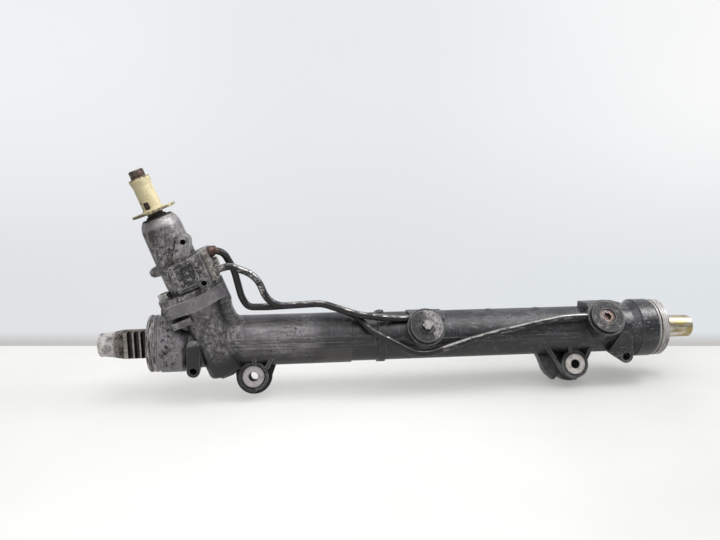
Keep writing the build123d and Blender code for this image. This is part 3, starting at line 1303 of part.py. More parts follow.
plate_outline = [(-22, 75), (-22, 106), (-17, 110), (6, 110), (8.5, 107), (8.5, 84), (-7, 84),
                 (-7, 75)]
with BuildPart() as line_plates:
    plate(side_face.offset(BLOCK_RIGHT), plate_outline, 2 * PLATE_THICK)
    ring = side_face.offset(BLOCK_RIGHT + PLATE_THICK)
    with BuildSketch(ring) as parting:
        Rectangle(100, 300)
        with BuildSketch(mode=Mode.SUBTRACT):
            with BuildLine():
                Polyline(*plate_outline, close=True)
            offset(make_face().face(), amount=-1.0)
    extrude(parting.sketch, amount=0.4, mode=Mode.SUBTRACT)
    for place in VALVE_LINES:
        disc(side_face.offset(BLOCK_RIGHT), LINE_R + SEAT_GAP, 2 * PLATE_THICK, place,
             Mode.SUBTRACT)
    disc(side_face.offset(BLOCK_RIGHT), CLAMP_BOLT_R + 0.2, 2 * PLATE_THICK, CLAMP_BOLT,
         Mode.SUBTRACT)
save(line_plates, "line_plates")

with BuildPart() as line_clamp_bolt:
    face = side_face.offset(BLOCK_RIGHT + 2 * PLATE_THICK)
    disc(face, CLAMP_BOLT_R - SEAT_GAP, 0.5 - 2 * PLATE_THICK - CLAMP_DEPTH, CLAMP_BOLT)
    with BuildSketch(face):
        with Locations(CLAMP_BOLT):
            RegularPolygon(CLAMP_HEAD_R, 6)
    extrude(amount=CLAMP_HEAD)
save(line_clamp_bolt, "line_clamp_bolt")


def from_valve(place, side):
    """Point beside the valve block, on the axis of one of its line bores."""
    return TOWER_ORIGIN + TOWER_SIDE * side + Vector(0, place[0], 0) + TOWER_UP * place[1]


def steel_line(name, place, points, cone=False):
    """Bent steel tube from a bore of the valve block, with the largest bends its runs allow.

    A ferrule is brazed on where the tube leaves the clamp plates.
    """
    ferrule = side_face.offset(BLOCK_RIGHT + 2 * PLATE_THICK)
    corners = [from_valve(place, BLOCK_RIGHT - LINE_INSERT), from_valve(place, BLOCK_RIGHT + 12)]
    corners += [Vector(point) for point in points]
    radii = []
    for before, corner, after in zip(corners, corners[1:], corners[2:]):
        run = min((corner - before).length, (after - corner).length)
        turn = math.radians((corner - before).get_angle(after - corner))
        radii.append(min(LINE_LARGEST_BEND, 0.45 * run / math.tan(turn / 2)))
    with BuildPart() as line:
        with BuildLine() as path:
            FilletPolyline(*corners, radius=radii)
        with BuildSketch(Plane(origin=path.line @ 0, z_dir=path.line % 0)):
            Circle(LINE_R)
        sweep(path=path.line)
        disc(ferrule, FERRULE_R, FERRULE, place)
        if cone:
            with BuildSketch(ferrule.offset(FERRULE)) as cone_foot:
                with Locations(place):
                    Circle(FERRULE_R)
            extrude(cone_foot.sketch, amount=FERRULE_CONE, taper=FERRULE_TAPER)
    save(line, name)


def line_end(index):
    """Point at the bottom of the line bore in a cylinder port block."""
    return (LINE_MOUTH_X[index] + LINE_INSERT, LINE_PORT_Y[index], LINE_PORT_Z[index])


steel_line("pressure_line_centre", VALVE_LINES[1], [
    (91, -29.5, 95.5),
    (119, -24.5, 83),
    (133, -24, 46.5),
    (192, -24, 48.6),
    (232, -27, 35),
    (262, -25, 29.5),
    (281, LINE_PORT_Y[0], LINE_PORT_Z[0]),
    line_end(0),
])
steel_line("pressure_line_right", VALVE_LINES[0], [
    (84, -17.5, 108),
    (94, -14, 88),
    (101, -12, 55),
    (108, -12, 43.5),
    (130, -12, 43),
    (192, -12, 45.5),
    (232, -16, 31.5),
    (246, -31, 17),
    (267, -37.5, 7),
    (304, -36.8, -14.5),
    (363, -35.2, 2.6),
    (399, -34.2, 11.3),
    (448, -31, 20.3),
    (474, -28.7, 24),
    (493, LINE_PORT_Y[1], LINE_PORT_Z[1]),
    line_end(1),
], cone=True)
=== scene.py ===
"""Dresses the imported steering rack: finishes, small worked details, stage and camera.

Everything is in metres in the rack's own frame: +X along the rack bar, +Z up, -Y towards the
toothed side.
"""

import math

import bpy
from mathutils import Matrix, Vector


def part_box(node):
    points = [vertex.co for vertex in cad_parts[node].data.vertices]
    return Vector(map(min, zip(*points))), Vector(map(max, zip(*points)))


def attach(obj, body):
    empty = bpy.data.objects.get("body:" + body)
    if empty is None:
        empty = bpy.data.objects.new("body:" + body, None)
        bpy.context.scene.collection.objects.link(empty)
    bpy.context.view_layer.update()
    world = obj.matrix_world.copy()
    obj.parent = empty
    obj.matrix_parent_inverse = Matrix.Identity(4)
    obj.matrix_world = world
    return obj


bl_info = {
    "name": "Steering Rack Dressing",
    "version": (1, 0, 0),
    "blender": (4, 5, 0),
    "location": "View3D > Sidebar > Rack",
    "description": "Finishes, worked details and stage for a hydraulic steering rack",
    "category": "Object",
}

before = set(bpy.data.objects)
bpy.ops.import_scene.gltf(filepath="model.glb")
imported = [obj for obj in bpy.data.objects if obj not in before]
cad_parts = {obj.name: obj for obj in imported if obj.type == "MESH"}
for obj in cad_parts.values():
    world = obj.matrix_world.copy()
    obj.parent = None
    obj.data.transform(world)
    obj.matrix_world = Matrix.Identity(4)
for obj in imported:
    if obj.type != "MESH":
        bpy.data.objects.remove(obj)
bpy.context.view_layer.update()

# the pinion tower's own axes
LEAN = math.radians(21.0)
TOWER_UP = Vector((-math.sin(LEAN), 0.0, math.cos(LEAN)))
TOWER_SIDE = Vector((math.cos(LEAN), 0.0, math.sin(LEAN)))
TOWER_FOOT = Vector((0.0708, -0.0158, 0.0))

# the mounting bushes: their lean, where each axis meets the front, how far behind that point the
# rubber lips lie, and the radii between which a sleeve's face is darker
BUSH_TILT = math.radians(18.0)
BUSH_OUT = Vector((0.0, -math.cos(BUSH_TILT), math.sin(BUSH_TILT)))
BUSHES = {"left": (0.112, -0.025, -0.036), "right": (0.498, -0.025, -0.036)}
BUSH_LIP_DEPTHS = (0.0023, 0.0387)
SLEEVE_BORE = 0.0057
SLEEVE_RING = (0.0100, 0.011314)

# the gear housing: spans along X where a finish starts or lies, and the height of its underside
LEFT_RIM = (-0.0060, 0.0050)
LEFT_DRUM = (0.0050, 0.0340)
LEFT_ARM = (0.0345, 0.0600)
TUBE_START = (0.0960, 0.1120)
BROWN_END = 0.2262
DUST_START = (0.2600, 0.3400)
RUBBED_TUBE = (0.3500, 0.4700)
GLOSS_START = (0.5450, 0.5600)
RIGHT_COLLAR = (0.5985, 0.6125)
UNDERSIDE = -0.0295

# the rack bar: its teeth along X, their crests and roots in Y, and its two ends
TEETH = (-0.0345, 0.1535)
CREST_Y = -0.0078
ROOT_Y = -0.0028
BAR_RADIUS = 0.016565
TAPER_FROM = -0.0345
TAPER_TIP = -0.0425
CLEAN_END = (0.6000, 0.6120)
YELLOWED_END = (0.6300, 0.6400)

# the tower: heights up it, the front of the valve block in -Y, how far out the line ferrules
# start, the radius of the shaft cap's brim, and that of the rusty core of the right port cap
FLANGE = (0.0500, 0.0722)
BLOCK_FRONT = (0.0440, 0.0452)
FERRULE_FROM = 0.0600
FERRULE_SIDE = 0.0475
VALVE_FOOT = 0.0720
VALVE_SHOULDER = 0.1000
VALVE_NECK = 0.1400
VALVE_CROWN = 0.1475
CAP_BRIM = 0.1700
CAP_LIP = 0.2025
BRIM_RADIUS = 0.02214
CORE_RADIUS = 0.01049

# where the small worked details stand: each rod thread from its end of the bar, each port by its
# height up the tower and the radius of its wall
LEFT_RECESS = 0.0010
RIGHT_REACH = 0.0267
TOP_PADS = ((0.395, 0.0, 0.0285), (0.455, 0.0, 0.0285))
BACK_PADS = ((0.180, 0.0298, 0.0), (0.360, 0.0285, 0.0), (0.470, 0.0285, 0.0))
FLASH_HEIGHTS = (0.115, 0.133)
VALVE_BACK = 0.0224
PORTS = (("pressure", 0.084, 0.0070), ("return", 0.104, 0.0062))
PORT_FLOOR = 0.0185

# the stage's two sheets, and the camera's sensor in millimetres
SHEET_SIZE = 6.0
FLOOR_MIDDLE = 0.3
WALL_MIDDLE = 0.238
SENSOR_WIDTH = 36.0

# tones that several finishes share
PIT = (0.010, 0.009, 0.009)
# near black for oil stains, and for the painted shade in the housing's hollows
OIL_AND_SHADE_TONE = (0.008, 0.007, 0.007)
BORE_GREASE = (0.010, 0.008, 0.008)


def toned(colour, share):
    """Colour made darker or paler by one factor."""
    return tuple(share * channel for channel in colour)


# ---- shader sockets as numbers ---------------------------------------------------------------


class Wire:
    """One socket of a finish. Arithmetic on it adds Math nodes."""

    def __init__(self, finish, socket):
        self.finish = finish
        self.socket = socket

    def math(self, operation, *values):
        return self.finish.node("ShaderNodeMath", {"operation": operation}, dict(enumerate(values)))

    def __add__(self, other):
        return self.math("ADD", self, other)

    def __sub__(self, other):
        return self.math("SUBTRACT", self, other)

    def __mul__(self, other):
        return self.math("MULTIPLY", self, other)

    def __rsub__(self, other):
        return self.math("SUBTRACT", other, self)

    def __neg__(self):
        return self.math("SUBTRACT", 0.0, self)

    __radd__ = __add__
    __rmul__ = __mul__

    def above(self, low, high):
        """0 under low, 1 over high, and smooth between them."""
        return self.finish.node(
            "ShaderNodeMapRange", {"interpolation_type": "SMOOTHSTEP"},
            {"Value": self, "From Min": low, "From Max": high})

    def between(self, low, high, soft):
        """1 between low and high, and 0 outside them."""
        return self.above(low - soft, low + soft) * (1.0 - self.above(high - soft, high + soft))

    def most(self, other):
        """The larger of two numbers."""
        return self.math("MAXIMUM", self, other)

    def squared(self):
        """The number times itself."""
        return self * self


class Finish:
    """A node material for one kind of surface."""

    def __init__(self, name):
        self.material = bpy.data.materials.new(name)
        self.material.use_nodes = True
        self.tree = self.material.node_tree
        self.tree.nodes.clear()
        self.place = self.node("ShaderNodeTexCoord", output="Object")
        self.x, self.y, self.z = (
            self.node("ShaderNodeSeparateXYZ", inputs={0: self.place}, output=axis)
            for axis in "XYZ")

    def node(self, kind, settings=None, inputs=None, output=0):
        """Adds a node: its settings first, then the values or links of its sockets."""
        made = self.tree.nodes.new(kind)
        for key, value in (settings or {}).items():
            setattr(made, key, value)
        for key, value in (inputs or {}).items():
            if isinstance(value, Wire):
                self.tree.links.new(value.socket, made.inputs[key])
            elif isinstance(value, tuple) and len(value) == 3 and made.inputs[key].type == "RGBA":
                made.inputs[key].default_value = (*value, 1.0)
            else:
                made.inputs[key].default_value = value
        return None if output is None else Wire(self, made.outputs[output])

    def up_tower(self):
        """Height along the leaning tower, from the pinion's middle."""
        return (self.x - TOWER_FOOT.x) * TOWER_UP.x + self.z * TOWER_UP.z

    def side_tower(self):
        """Distance to the right of the leaning tower's axis."""
        return (self.x - TOWER_FOOT.x) * TOWER_SIDE.x + self.z * TOWER_SIDE.z

    def mix(self, amount, low, high):
        """Number from low to high as amount goes from 0 to 1."""
        return low + amount * (high - low)

    def stretched(self, scale, turn=(0.0, 0.0, 0.0)):
        """Object coordinates turned and scaled, so that a pattern runs along one way."""
        return self.node("ShaderNodeMapping", {}, {
            "Vector": self.place, "Rotation": turn, "Scale": scale})

    def noise(self, scale, detail=4.0, rough=0.55, vector=None, warp=0.0):
        """Cloudy pattern of numbers round 0.5."""
        return self.node("ShaderNodeTexNoise", {}, {
            "Vector": vector or self.place, "Scale": scale, "Detail": detail,
            "Roughness": rough, "Distortion": warp}, "Fac")

    def blend(self, amount, low, high):
        """Colour from low to high as amount goes from 0 to 1."""
        return self.node("ShaderNodeMix", {"data_type": "RGBA"},
                         {"Factor": amount, 6: low, 7: high}, 2)

    def layers(self, base, *laid):
        """Colour with others laid over it in turn, each given as an amount and a colour."""
        for amount, colour in laid:
            base = self.blend(amount, base, colour)
        return base

    def worn_edge(self, radius=0.0016):
        """1 on sharp edges and 0 on flat faces."""
        bevel = self.node("ShaderNodeBevel", {"samples": 4}, {"Radius": radius})
        normal = self.node("ShaderNodeNewGeometry", output="Normal")
        same = self.node("ShaderNodeVectorMath", {"operation": "DOT_PRODUCT"},
                         {0: bevel, 1: normal}, "Value")
        return (1.0 - same).above(0.02, 0.14)

    def crevice(self, reach):
        """1 in corners and hollows, 0 in the open."""
        open_air = self.node("ShaderNodeAmbientOcclusion", {"samples": 6},
                             {"Distance": reach}, "AO")
        return 1.0 - open_air.above(0.35, 0.95)

    def facing(self, axis):
        """How far the surface faces along one of the object's axes."""
        normal = self.node("ShaderNodeNewGeometry", output="Normal")
        return self.node("ShaderNodeSeparateXYZ", inputs={0: normal}, output=axis)

    def seen(self):
        """1 for rays from the camera or from a mirror, so that a backdrop glows for them alone."""
        camera = self.node("ShaderNodeLightPath", output="Is Camera Ray")
        mirror = self.node("ShaderNodeLightPath", output="Is Glossy Ray")
        return camera.most(mirror)

    def finish(self, colour, rough, metal, height, depth, strength):
        """Joins the patterns to the surface, with a relief of the given depth."""
        relief = self.node("ShaderNodeBump", {}, {
            "Strength": strength, "Distance": depth, "Height": height})
        surface = self.node("ShaderNodeBsdfPrincipled", {}, {
            "Base Color": colour, "Roughness": rough, "Metallic": metal, "Normal": relief})
        self.node("ShaderNodeOutputMaterial", {}, {"Surface": surface}, None)
        return self.material


# ---- finishes of the rack's own surfaces -------------------------------------------------------


def housing_casting(bare, paint, paint_from):
    """Gear housing: bare oiled aluminium at the tower end, worn black paint along the cylinder,
    with painted shade in its hollows and underneath and painted floor light on its lowest faces.
    """
    f = Finish("housing_casting")
    grain = f.noise(1500.0, 3.0)
    cast = f.noise(330.0, 5.0, 0.7)
    blotch = f.noise(52.0, 6.0, 0.64)
    cloud = f.noise(19.0, 4.0, 0.55)
    edge = f.worn_edge()
    # hollow_shade: painted shade in small hollows
    hollow_shade = f.crevice(0.006)
    # broad_shade: painted shade in wide sheltered hollows
    broad_shade = f.crevice(0.030)
    up, side = f.up_tower(), f.side_tower()

    # bare end: mottled metal, black pits, oil mixed with painted shade where it is sheltered, and
    # painted shade on its underside
    rusty = f.noise(85.0, 5.0, 0.7).above(0.56, 0.68)
    dapple = f.noise(190.0, 6.0, 0.72)
    drawn = f.noise(1.0, 6.0, 0.68, f.stretched((42.0, 190.0, 190.0)))
    tube = f.x.above(*TUBE_START)
    grit = f.mix(tube, dapple, drawn)
    pale = (up.between(*FLANGE, 0.0012) * 0.35).most(f.x.between(*LEFT_DRUM, 0.004) * 0.45)
    near_rim = f.x.between(0.004, 0.026, 0.006) * f.z.above(-0.010, 0.004)
    pits = cast.above(0.575, 0.605) * cloud.above(0.52, 0.60).most(near_rim * 0.9)
    # under: painted shade on the underside of the bare end
    under = (-f.z).above(-0.004, 0.018) * f.x.above(0.040, 0.060)
    barrel = side.between(-0.032, 0.026, 0.003) * f.x.above(0.047, 0.060)
    barrel = barrel * (0.052 - up).above(0.0, 0.020)
    foot = (-up).above(0.002, 0.026) * (0.024 - side).above(-0.002, 0.004) * f.x.above(0.046, 0.062)
    arm = f.x.between(*LEFT_ARM, 0.0025) * (0.010 - f.z).above(0.0, 0.010)
    corner = f.x.between(0.040, 0.060, 0.004) * (0.004 - f.z).above(0.0, 0.012)
    # oil on the arm, the foot and in blotches, mixed with painted shade in the sheltered hollows
    oiled_and_shaded = broad_shade * 0.85 + (blotch - 0.5) * 1.3 + foot * 0.66 + arm * 0.80 + corner * 0.45
    oiled_and_shaded = oiled_and_shaded.above(0.34, 0.62)
    speckle = f.noise(250.0, 6.0, 0.74).above(0.525, 0.555) * f.x.between(0.009, 0.026, 0.009)
    ring = f.noise(1.0, 4.0, 0.6, f.stretched((1500.0, 75.0, 75.0)))
    rim = f.x.between(*LEFT_RIM, 0.0003)
    rings = f.blend(ring.above(0.49, 0.57), (0.022, 0.015, 0.012), (0.52, 0.485, 0.485))
    scraped = edge * (1.0 - oiled_and_shaded * 0.6) * (0.25 + cast.above(0.44, 0.56) * 0.65)
    metal = f.layers(
        toned(bare, 0.58),
        (blotch.above(0.34, 0.64), bare),
        (cloud.above(0.50, 0.68) * 0.5, toned(bare, 1.7)),
        (rusty * 0.4, (0.075, 0.052, 0.042)),
        (grit.above(0.50, 0.58) * f.mix(tube, 0.62, 0.46), toned(bare, 0.32)),
        ((-grit).above(-0.46, -0.38) * f.mix(tube, 0.50, 0.30), toned(bare, 2.1)),
        (pale, toned(bare, 1.9)),
        (pits * 0.9, PIT),
        (under * 0.74, (0.026, 0.024, 0.024)),
        (barrel * dapple.above(0.38, 0.56) * 0.50, (0.030, 0.028, 0.028)),
        (oiled_and_shaded * 0.97, OIL_AND_SHADE_TONE),
        (speckle * f.z.above(-0.034, -0.014) * 0.95, OIL_AND_SHADE_TONE),
        (rim * 0.85, rings),
        (scraped, (0.46, 0.44, 0.44)))

    # painted end: black, streaked across and along, chipped to metal in places, with painted
    # glints, painted shade underneath and in its hollows, and painted floor light on its lowest
    # faces
    hoop = f.noise(1.0, 5.0, 0.7, f.stretched((520.0, 34.0, 34.0)))
    long_run = f.noise(1.0, 5.0, 0.65, f.stretched((22.0, 150.0, 150.0)))
    scuff = f.noise(1.0, 6.0, 0.75, f.stretched((90.0, 420.0, 420.0)))
    hoops = hoop.above(0.56, 0.66) * f.mix(f.x.above(0.34, 0.40), 0.50, 0.22)
    rubbed = f.x.between(*RUBBED_TUBE, 0.040) * f.z.above(0.004, 0.020)
    worn_here = f.z.above(0.002, 0.022) * 0.010 + rubbed * 0.075 + (cloud - 0.5) * 0.22
    chips = (scuff + worn_here).above(0.590, 0.690)
    dust = f.noise(40.0, 5.0, 0.72).above(0.50, 0.60) * f.noise(430.0, 5.0, 0.72).above(0.49, 0.57)
    glint = f.noise(620.0, 3.0, 0.7).above(0.635, 0.665) * (chips + f.z.above(0.006, 0.024) * 0.3)
    # painted light from the floor: lighter grey in blotches on the lowest faces
    painted_floor_light = (UNDERSIDE - f.z).above(0.0, 0.004) * (0.35 + blotch.above(0.42, 0.60) * 0.65)
    band = f.x.between(*RIGHT_COLLAR, 0.0003)
    dull = f.noise(1.0, 5.0, 0.65, f.stretched((1300.0, 60.0, 60.0)))
    scraped = edge * (0.10 + scuff.above(0.46, 0.58) * 0.45 + band * 0.5)
    coat = f.layers(
        paint,
        (long_run.above(0.48, 0.64) * 0.7, (0.044, 0.044, 0.050)),
        (hoops, (0.125, 0.125, 0.132)),
        # painted shade on the underside of the black tube
        ((-f.z).above(0.002, 0.016) * 0.80, (0.009, 0.008, 0.008)),
        (chips * 0.80, (0.165, 0.163, 0.168)),
        (dust * f.x.above(*DUST_START) * 0.60, (0.150, 0.150, 0.158)),
        (glint * 0.8, (0.50, 0.49, 0.485)),
        (hollow_shade * 0.7, OIL_AND_SHADE_TONE),
        # painted shade in the wide sheltered hollows of the black tube
        (broad_shade.above(0.45, 0.85) * 0.5, (0.012, 0.011, 0.011)),
        (painted_floor_light * 0.75, (0.125, 0.122, 0.122)),
        (band * dull.above(0.36, 0.54) * 0.85, (0.44, 0.415, 0.395)),
        (scraped, (0.40, 0.385, 0.37)))

    # the paint starts raggedly, and its underside is brown as far as the web
    ragged = f.x + (f.noise(60.0, 5.0, 0.7) - 0.5) * 0.030
    painted = ragged.above(paint_from - 0.012, paint_from + 0.016)
    brown_side = (-f.z).above(0.002, 0.004) * (BROWN_END - f.x).above(0.0, 0.0004)
    colour = f.layers(
        metal,
        (painted, coat),
        (brown_side * painted * 0.8, (0.060, 0.052, 0.047)))
    gloss = f.x.above(*GLOSS_START)
    rough = f.mix(painted, 0.44 + (blotch - 0.5) * 0.3 - oiled_and_shaded * 0.10,
                  0.38 - gloss * 0.14 + chips * 0.15 + (blotch - 0.5) * 0.25)
    rough = rough + (grain - 0.5) * 0.08
    metallic = f.mix(painted, (1.0 - oiled_and_shaded * 0.9) * 0.62, chips * 0.5)
    height = grain * 0.28 + cast * 0.30 + blotch * 0.42 - pits * 0.25 - chips * painted * 0.25
    return f.finish(colour, rough, metallic, height, 0.0009, 0.6)


def valve_casting(bare, stain):
    """Valve housing: bare die-cast aluminium with dark corroded blotches and oil runs, a painted
    highlight on the right of its head, and painted shade in its hollows.
    """
    f = Finish("valve_casting")
    grain = f.noise(1600.0, 3.0)
    blotch = f.noise(78.0, 6.0, 0.66)
    cloud = f.noise(30.0, 4.0, 0.55)
    pitting = f.noise(400.0, 5.0, 0.72)
    crust = f.noise(170.0, 7.0, 0.74, warp=0.7)
    run = f.noise(1.0, 5.0, 0.62, f.stretched((170.0, 170.0, 34.0), (0.0, LEAN, 0.0)))
    edge = f.worn_edge()
    # hollow_shade: painted shade in small hollows
    hollow_shade = f.crevice(0.005)
    # broad_shade: painted shade in wide sheltered hollows
    broad_shade = f.crevice(0.020)
    up, side = f.up_tower(), f.side_tower()
    front = (-f.y).above(*BLOCK_FRONT)
    left = (-side).above(0.000, 0.016)

    # painted highlight on the right of the valve head, above its shoulder
    right_highlight = side.above(0.001, 0.016) * (up - VALVE_SHOULDER).above(0.0, 0.014)
    patches = (cloud * 0.5 + left * 0.20 + (0.094 - up).above(0.0, 0.022) * 0.12).above(0.29, 0.36)
    pits = pitting.above(0.585, 0.615) * patches
    foot = (0.084 - up).above(0.0, 0.012) * (up - VALVE_FOOT).above(-0.001, 0.001)
    pocket = front * side.between(0.001, 0.019, 0.007) * up.between(0.081, 0.102, 0.007)
    eaten = crust + pocket * 0.230 + front * 0.036 + foot * 0.105 + left * 0.016
    eaten = (eaten + (cloud - 0.5) * 0.12).above(0.562, 0.584)
    # oil in blotches, mixed with painted shade in the sheltered hollows
    oiled_and_shaded = (broad_shade * 0.9 + (blotch - 0.5) * 0.9).above(0.40, 0.80)
    dapple = f.noise(210.0, 6.0, 0.72)
    neck = (up - VALVE_NECK).above(0.0, 0.006) * (0.010 - side).above(0.0, 0.010)
    crown = (up - VALVE_CROWN).above(-0.001, 0.004)
    colour = f.layers(
        toned(bare, 0.60),
        (blotch.above(0.38, 0.62), bare),
        (cloud.above(0.50, 0.66) * 0.5, toned(bare, 1.6)),
        (run.above(0.50, 0.59) * 0.75, toned(stain, 0.7)),
        (right_highlight * 0.55, toned(bare, 1.7)),
        (left * run.above(0.44, 0.60) * 0.55, (0.050, 0.036, 0.030)),
        (pits * 0.9, PIT),
        (eaten * 0.94, PIT),
        (oiled_and_shaded * 0.85, (0.016, 0.014, 0.013)),
        (hollow_shade * 0.6, (0.020, 0.014, 0.010)),
        (dapple.above(0.52, 0.59) * 0.58, toned(bare, 0.30)),
        ((-dapple).above(-0.45, -0.37) * 0.55, toned(bare, 2.5)),
        (neck * crust.above(0.50, 0.55) * 0.85, (0.018, 0.013, 0.011)),
        (crown * crust.above(0.44, 0.50) * 0.5, (0.44, 0.42, 0.41)),
        (edge * (0.30 + blotch.above(0.42, 0.56) * 0.65), (0.54, 0.52, 0.51)))
    rough = 0.40 + eaten * 0.25 + (blotch - 0.5) * 0.25 + pits * 0.2
    metallic = (1.0 - eaten.most(pits)) * 0.68
    height = grain * 0.2 + crust * 0.55 + blotch * 0.25 - eaten * 0.3 - pits * 0.2
    return f.finish(colour, rough, metallic, height, 0.0011, 0.65)


def ground_bar(steel, grime):
    """Rack bar: bright ground crests, greasy tooth spaces, stained taper and clean ends."""
    f = Finish("ground_bar")
    rings = f.noise(1.0, 4.0, 0.6, f.stretched((900.0, 12.0, 12.0)))
    across = f.noise(1.0, 4.0, 0.6, f.stretched((60.0, 60.0, 500.0)))
    smear = f.noise(1.0, 5.0, 0.62, f.stretched((55.0, 130.0, 130.0)))
    mottle = f.noise(115.0, 6.0, 0.7)
    fine = f.noise(700.0, 4.0, 0.7)
    edge = f.worn_edge(0.0009)
    # hollow_shade: painted shade in small hollows
    hollow_shade = f.crevice(0.004)
    toothed = f.x.between(*TEETH, 0.0004)
    inside = (BAR_RADIUS ** 2 - f.y.squared() - f.z.squared()).above(0.0, 0.000004)
    space = toothed * (f.y - CREST_Y).above(0.0, 0.0004) * (ROOT_Y - f.y).above(0.0, 0.0003)
    space = space * inside
    crest = toothed * (CREST_Y - f.y).above(0.0, 0.0002)
    ragged = f.x + (mottle - 0.5) * 0.016
    tip = (TAPER_TIP - ragged).above(0.0, 0.0016)
    taper = 1.0 - (f.x - TAPER_FROM).above(-0.0002, 0.0)

    satin = f.layers(
        (0.19, 0.175, 0.165),
        (mottle.above(0.36, 0.58), (0.64, 0.607, 0.580)),
        (fine.above(0.56, 0.68) * 0.6, (0.075, 0.055, 0.045)))
    stained = f.layers(
        (0.045, 0.030, 0.023),
        (mottle.above(0.42, 0.60), (0.26, 0.235, 0.215)),
        (fine.above(0.56, 0.66) * 0.6, (0.030, 0.020, 0.015)))
    shiny = f.blend(across.above(0.42, 0.60) * 0.65, (0.34, 0.325, 0.305), (0.10, 0.085, 0.075))
    grease = f.blend(fine.above(0.45, 0.65), (0.010, 0.008, 0.007), (0.040, 0.028, 0.020))
    clean = f.x.above(*CLEAN_END)
    yellowed = f.x.above(*YELLOWED_END) * smear.above(0.35, 0.55)
    zinc = f.layers(
        (0.56, 0.53, 0.46),
        (smear.above(0.42, 0.58), (0.26, 0.215, 0.13)),
        (yellowed * 0.8, (0.36, 0.275, 0.10)),
        (fine.above(0.58, 0.66) * 0.6, (0.10, 0.075, 0.045)))
    colour = f.layers(
        steel,
        (smear.above(0.36, 0.66) * 0.8, grime),
        (taper, stained),
        (tip, satin),
        (crest * 0.9, shiny),
        (hollow_shade * 0.85, (0.018, 0.013, 0.010)),
        (space * 0.95, grease),
        (clean, zinc),
        (edge * (1.0 - space) * 0.7, (0.60, 0.58, 0.55)))
    rough = 0.30 + smear.above(0.36, 0.66) * 0.16 + taper * 0.12
    rough = rough + space * 0.15 + (mottle - 0.5) * 0.15
    metallic = 0.92 - (space * 0.6).most(taper * 0.35)
    return f.finish(colour, rough, metallic, rings * 0.4 + smear * 0.3 + fine * 0.3, 0.0002, 0.35)


def turned_steel(name, steel, rust, amount):
    """Turned or ground steel with some rust bloom."""
    f = Finish(name)
    bloom = f.noise(230.0, 6.0, 0.7)
    fine = f.noise(1500.0, 3.0)
    edge = f.worn_edge(0.0008)
    # hollow_shade: painted shade in small hollows
    hollow_shade = f.crevice(0.003)
    rusty = bloom.above(0.62 - amount * 0.3, 0.74 - amount * 0.25)
    pale = f.noise(70.0, 4.0).above(0.56, 0.68)
    colour = f.layers(
        steel,
        (rusty, rust),
        (pale * 0.35, (0.26, 0.235, 0.215)),
        (hollow_shade * 0.7, (0.020, 0.014, 0.010)),
        (edge * 0.5 * (1.0 - rusty * 0.6), (0.42, 0.39, 0.36)))
    return f.finish(colour, 0.36 + rusty * 0.3 + (fine - 0.5) * 0.1, 0.85 - rusty * 0.5,
                    fine * 0.3 + bloom * 0.7, 0.0004, 0.5)


def steel_line(name, coating, bright, worn, silver, near_valve):
    """Steel pressure line: dark coating, rubbed bright over one span of X, brighter on its top as
    rubbed wear and a painted highlight, with painted shade on its underside.
    """
    f = Finish(name)
    scratches = f.noise(1.0, 6.0, 0.72, f.stretched((85.0, 300.0, 300.0)))
    patch = f.noise(26.0, 3.0)
    fine = f.noise(900.0, 3.0)
    fleck = f.noise(430.0, 5.0, 0.72)
    # top: painted highlight along the upper side, which also raises the rubbed wear there; low:
    # painted shade on the underside
    top = f.facing("Z").above(0.20, 0.98)
    low = (-f.facing("Z")).above(0.1, 0.9)
    stretch = f.x.between(*silver, 0.004)
    rubbed = scratches + top * 0.17 + (patch - 0.5) * 0.24 + stretch * 0.16
    rubbed = rubbed.above(worn, worn + 0.10)
    # hollow_shade: painted shade in small hollows
    hollow_shade = f.crevice(0.004)
    ferrule = (FERRULE_SIDE - f.side_tower()).above(-0.0012, 0.0012)
    ferrule = ferrule * (f.up_tower() - FERRULE_FROM).above(0.0, 0.002)
    tarnish = f.blend(fleck.above(0.42, 0.58), near_valve, (0.030, 0.022, 0.019))
    colour = f.layers(
        coating,
        (rubbed, bright),
        (ferrule * 0.85, tarnish),
        (low * 0.5, toned(coating, 0.45)),
        (fleck.above(0.54, 0.61) * 0.7, (0.040, 0.028, 0.022)),
        (fleck.above(0.62, 0.66) * rubbed * 0.7, (0.62, 0.60, 0.58)),
        (hollow_shade * 0.7, (0.012, 0.010, 0.009)))
    return f.finish(colour, 0.34 - rubbed * 0.06 + (fleck - 0.5) * 0.20, 0.55 + rubbed * 0.40,
                    fine * 0.4 + fleck * 0.6, 0.0003, 0.45)


